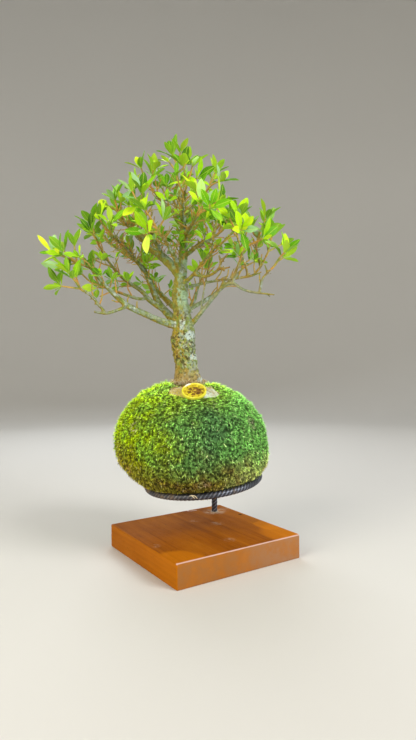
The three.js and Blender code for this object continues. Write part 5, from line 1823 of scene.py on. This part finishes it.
def tangle(random, path):
    # fine crooked dead twiglets that fill the inside of the crown
    look = tangleLook
    line = smoothPath(path, look["spacing"])
    twigs = []
    for i in range(round(len(line) * look["from"]), len(line) - 1):
        if line[i][2] < look["least"]["left" if line[i][0] < 0 else "right"]:
            continue
        isDense = np.linalg.norm(line[i][:3] - look["dense"]) < look["denseReach"]
        for _ in range(look["denseCount"] if isDense else 1):
            twigs.append(crookedTwig(random, line[i][:3], unit(line[i + 1][:3] - line[i][:3])))
    return twigs


def crookedTwig(random, place, aim):
    look = tangleLook
    aim = leaning(aim, anyWayOff(random, aim), random.uniform(*look["lean"]))
    thick, thin = look["radius"]
    twig = [[*place, thick]]
    for k in range(look["kinks"]):
        out = anyWayOff(random, aim)
        aim = leaning(aim, out, math.radians(random.uniform(0.3, 1) * look["kink"]))
        aim = unit(aim + np.array([0, 0, look["upwardPull"]]))
        place = place + aim * random.uniform(*look["length"])
        twig.append([*place, thick * (1 - (k + 1) / look["kinks"]) + thin])
    return np.array(twig)


def youngLeaves(random, twig):
    # small new leaves that stand up in the middle of a rosette
    look = leafLook
    leaves = []
    count = howMany(random, look["young"])
    start = random.random() * 2 * math.pi
    for i in range(count):
        out = outward(twig["across"], start + i * math.radians(growth["goldenAngle"]))
        spread = math.radians(random.uniform(*look["youngSpread"]))
        length = random.uniform(*look["youngLength"])
        leaf = rosetteLeaf(random, twig["point"], twig["along"], out, length, spread, look["youngWidth"])
        leaf["tone"] = random.uniform(*look["youngTone"])
        leaves.append(leaf)
    return leaves


def farLeaves():
    # the long leaves at the crown's far left, turned to the front
    base = np.array(farTwig["path"][-1][:3], float)
    leaves = []
    for leaf in farTwig["leaves"]:
        along = unit(np.array(leaf["along"], float))
        up = np.array(farTwig["facing"])
        up = unit(up - along * (up @ along))
        leaves.append({**leaf, "base": base + along * leafLook["baseOut"], "along": along, "up": up,
                       "curl": farTwig["curl"]})
    return leaves


def sideRosette(random, tip, axis):
    # a few small leaves round the end of a side twig, where there is room for them
    look = leafLook
    around = acrossFrom(axis)
    count = howMany(random, look["sideLeaves"])
    start = random.random() * 2 * math.pi
    leaves = []
    for k in range(count):
        for _ in range(look["leafTries"]):
            spread = math.radians(random.uniform(*look["sideLeafSpread"]))
            out = outward(around, start + (k + 0.5) / count * 2 * math.pi + random.normal(0, 0.2))
            length = random.uniform(*look["sideLength"])
            leaf = rosetteLeaf(random, tip, axis, out, length, spread, growth["leafWidth"])
            places = [leafPoint(leaf, share, 0) for share in (0.5, 0.75, 1)]
            if isFree([(*place, 0.8) for place in places]):
                takenBalls.extend((*place, 0.9) for place in places)
                leaf["tone"] = random.uniform(*look["sideTone"])
                leaves.append(leaf)
                break
    return leaves


def sideTwigs(random, path):
    # thin twigs along the outer part of a limb, most of them with a small rosette
    look = leafLook
    line = smoothPath(path, look["step"])
    reach = np.cumsum(np.linalg.norm(np.diff(line[:, :3], axis=0), axis=1))
    twigs, leaves = [], []
    place = reach[-1] * look["sideFrom"]
    while place < reach[-1] - 3:
        i = int(np.searchsorted(reach, place))
        place += random.uniform(*look["uneven"]) * look["sideTwigs"]
        along = unit(line[i + 1][:3] - line[i][:3])
        for _ in range(growth["tries"]):
            spread = math.radians(random.uniform(*look["sideSpread"]))
            aim = leaning(along, anyWayOff(random, along), spread)
            aim[2] += look["sidePull"]
            aim = unit(aim)
            root, tip = line[i][:3], line[i][:3] + aim * random.uniform(*look["sideReach"])
            if isFree([(*tip, 2.2), (*(root * 0.35 + tip * 0.65), 1.0)]):
                break
        else:
            continue
        bend = (root + tip) / 2 + random.normal(0, look["sideSway"], 3)
        radii = np.array(look["sideRadii"])[:, None]
        twigs.append(np.hstack([np.array([root, bend, tip]), radii]))
        takenBalls.extend(tubeBalls((root + tip) / 2, tip))
        low = look["bareBelow"]
        isLow = tip[2] < (low["left"] if tip[0] < low["between"] else low["right"])
        isInTangle = np.linalg.norm(tip - tangleLook["dense"]) < tangleLook["denseReach"] * 0.7
        if isLow or isInTangle or random.random() < look["bareShare"]:
            continue
        leaves += sideRosette(random, tip, unit(tip - bend))
    return twigs, leaves


def bentTwig(random, path):
    # the solid sprays' twigs are straight, and these sway a little between the same ends
    path = np.array(path)
    middle = (path[-2] + path[-1]) / 2
    middle[:3] += random.normal(0, leafLook["sway"], 3)
    return smoothPath(np.vstack([path[:-1], middle, path[-1:]]), leafLook["bentStep"])


def buildSprays():
    look = leafLook
    random = np.random.default_rng(look["seed"])
    leafGreen, twigBrown = leafFinish(), twigFinish()
    total = 0
    for number, (node, spray) in enumerate(sprays.items(), 1):
        leaves, twigs = [], []
        for twig in spray["twigs"]:
            twigs.append(bentTwig(random, twig["path"]))
            knob = np.array([*(twig["point"] + twig["along"] * 0.8), growth["knobRadius"] * 0.8])
            twigs.append(np.vstack([twig["path"][-1], knob]))
            for leaf in twig["leaves"]:
                leaf["tone"] = random.uniform(*look["tone"])
                leaf["length"] *= look["longer"]
                leaf["half"] *= look["wider"]
                lift(leaf)
                leaves.append(leaf)
            leaves += youngLeaves(random, twig)
        moreTwigs, moreLeaves = sideTwigs(random, spray["path"])
        leaves += moreLeaves
        if node == farTwig["spray"]:
            leaves += farLeaves()
            moreTwigs.append(np.array(farTwig["path"]))
        stems = tubes("sprayTwigs", twigs + moreTwigs + tangle(random, spray["path"]), 1)
        paint(stems, twigBrown)
        blades = leafMesh("sprayLeaves", leaves, random)
        paint(blades, leafGreen)
        piece = join(f"leafSpray{number:02d}", [blades, stems])
        smooth(piece, 60)
        ready(piece, "leaf", node)
        total += len(leaves)
    print("leaves:", total)


strayLook = {
    "fibres": [
        [(-11, -56, 74.9, 0.3), (-8.4, -56.6, 75.5, 0.45), (-5.6, -56.4, 74.9, 0.45),
         (-3.4, -55.8, 72.3, 0.3)],
        [(-9.6, -56.2, 75.3, 0.25), (-7, -57, 73.7, 0.35), (-5.8, -56.8, 72.5, 0.2)],
    ],
    "colour": (0.85, 0.74, 0.5),
}


def buildStray():
    # a pale fibre that has caught on the front of the ring
    stray = tubes("strayFibre", strayLook["fibres"], 2)
    smooth(stray, 60)
    dry = Finish("strayFibre", Roughness=0.7)
    dry.set("Base Color", strayLook["colour"])
    return dress(stray, dry, "moss")


buildTree()
buildStray()
print("tree ready")
buildSprays()
print("sprays ready")
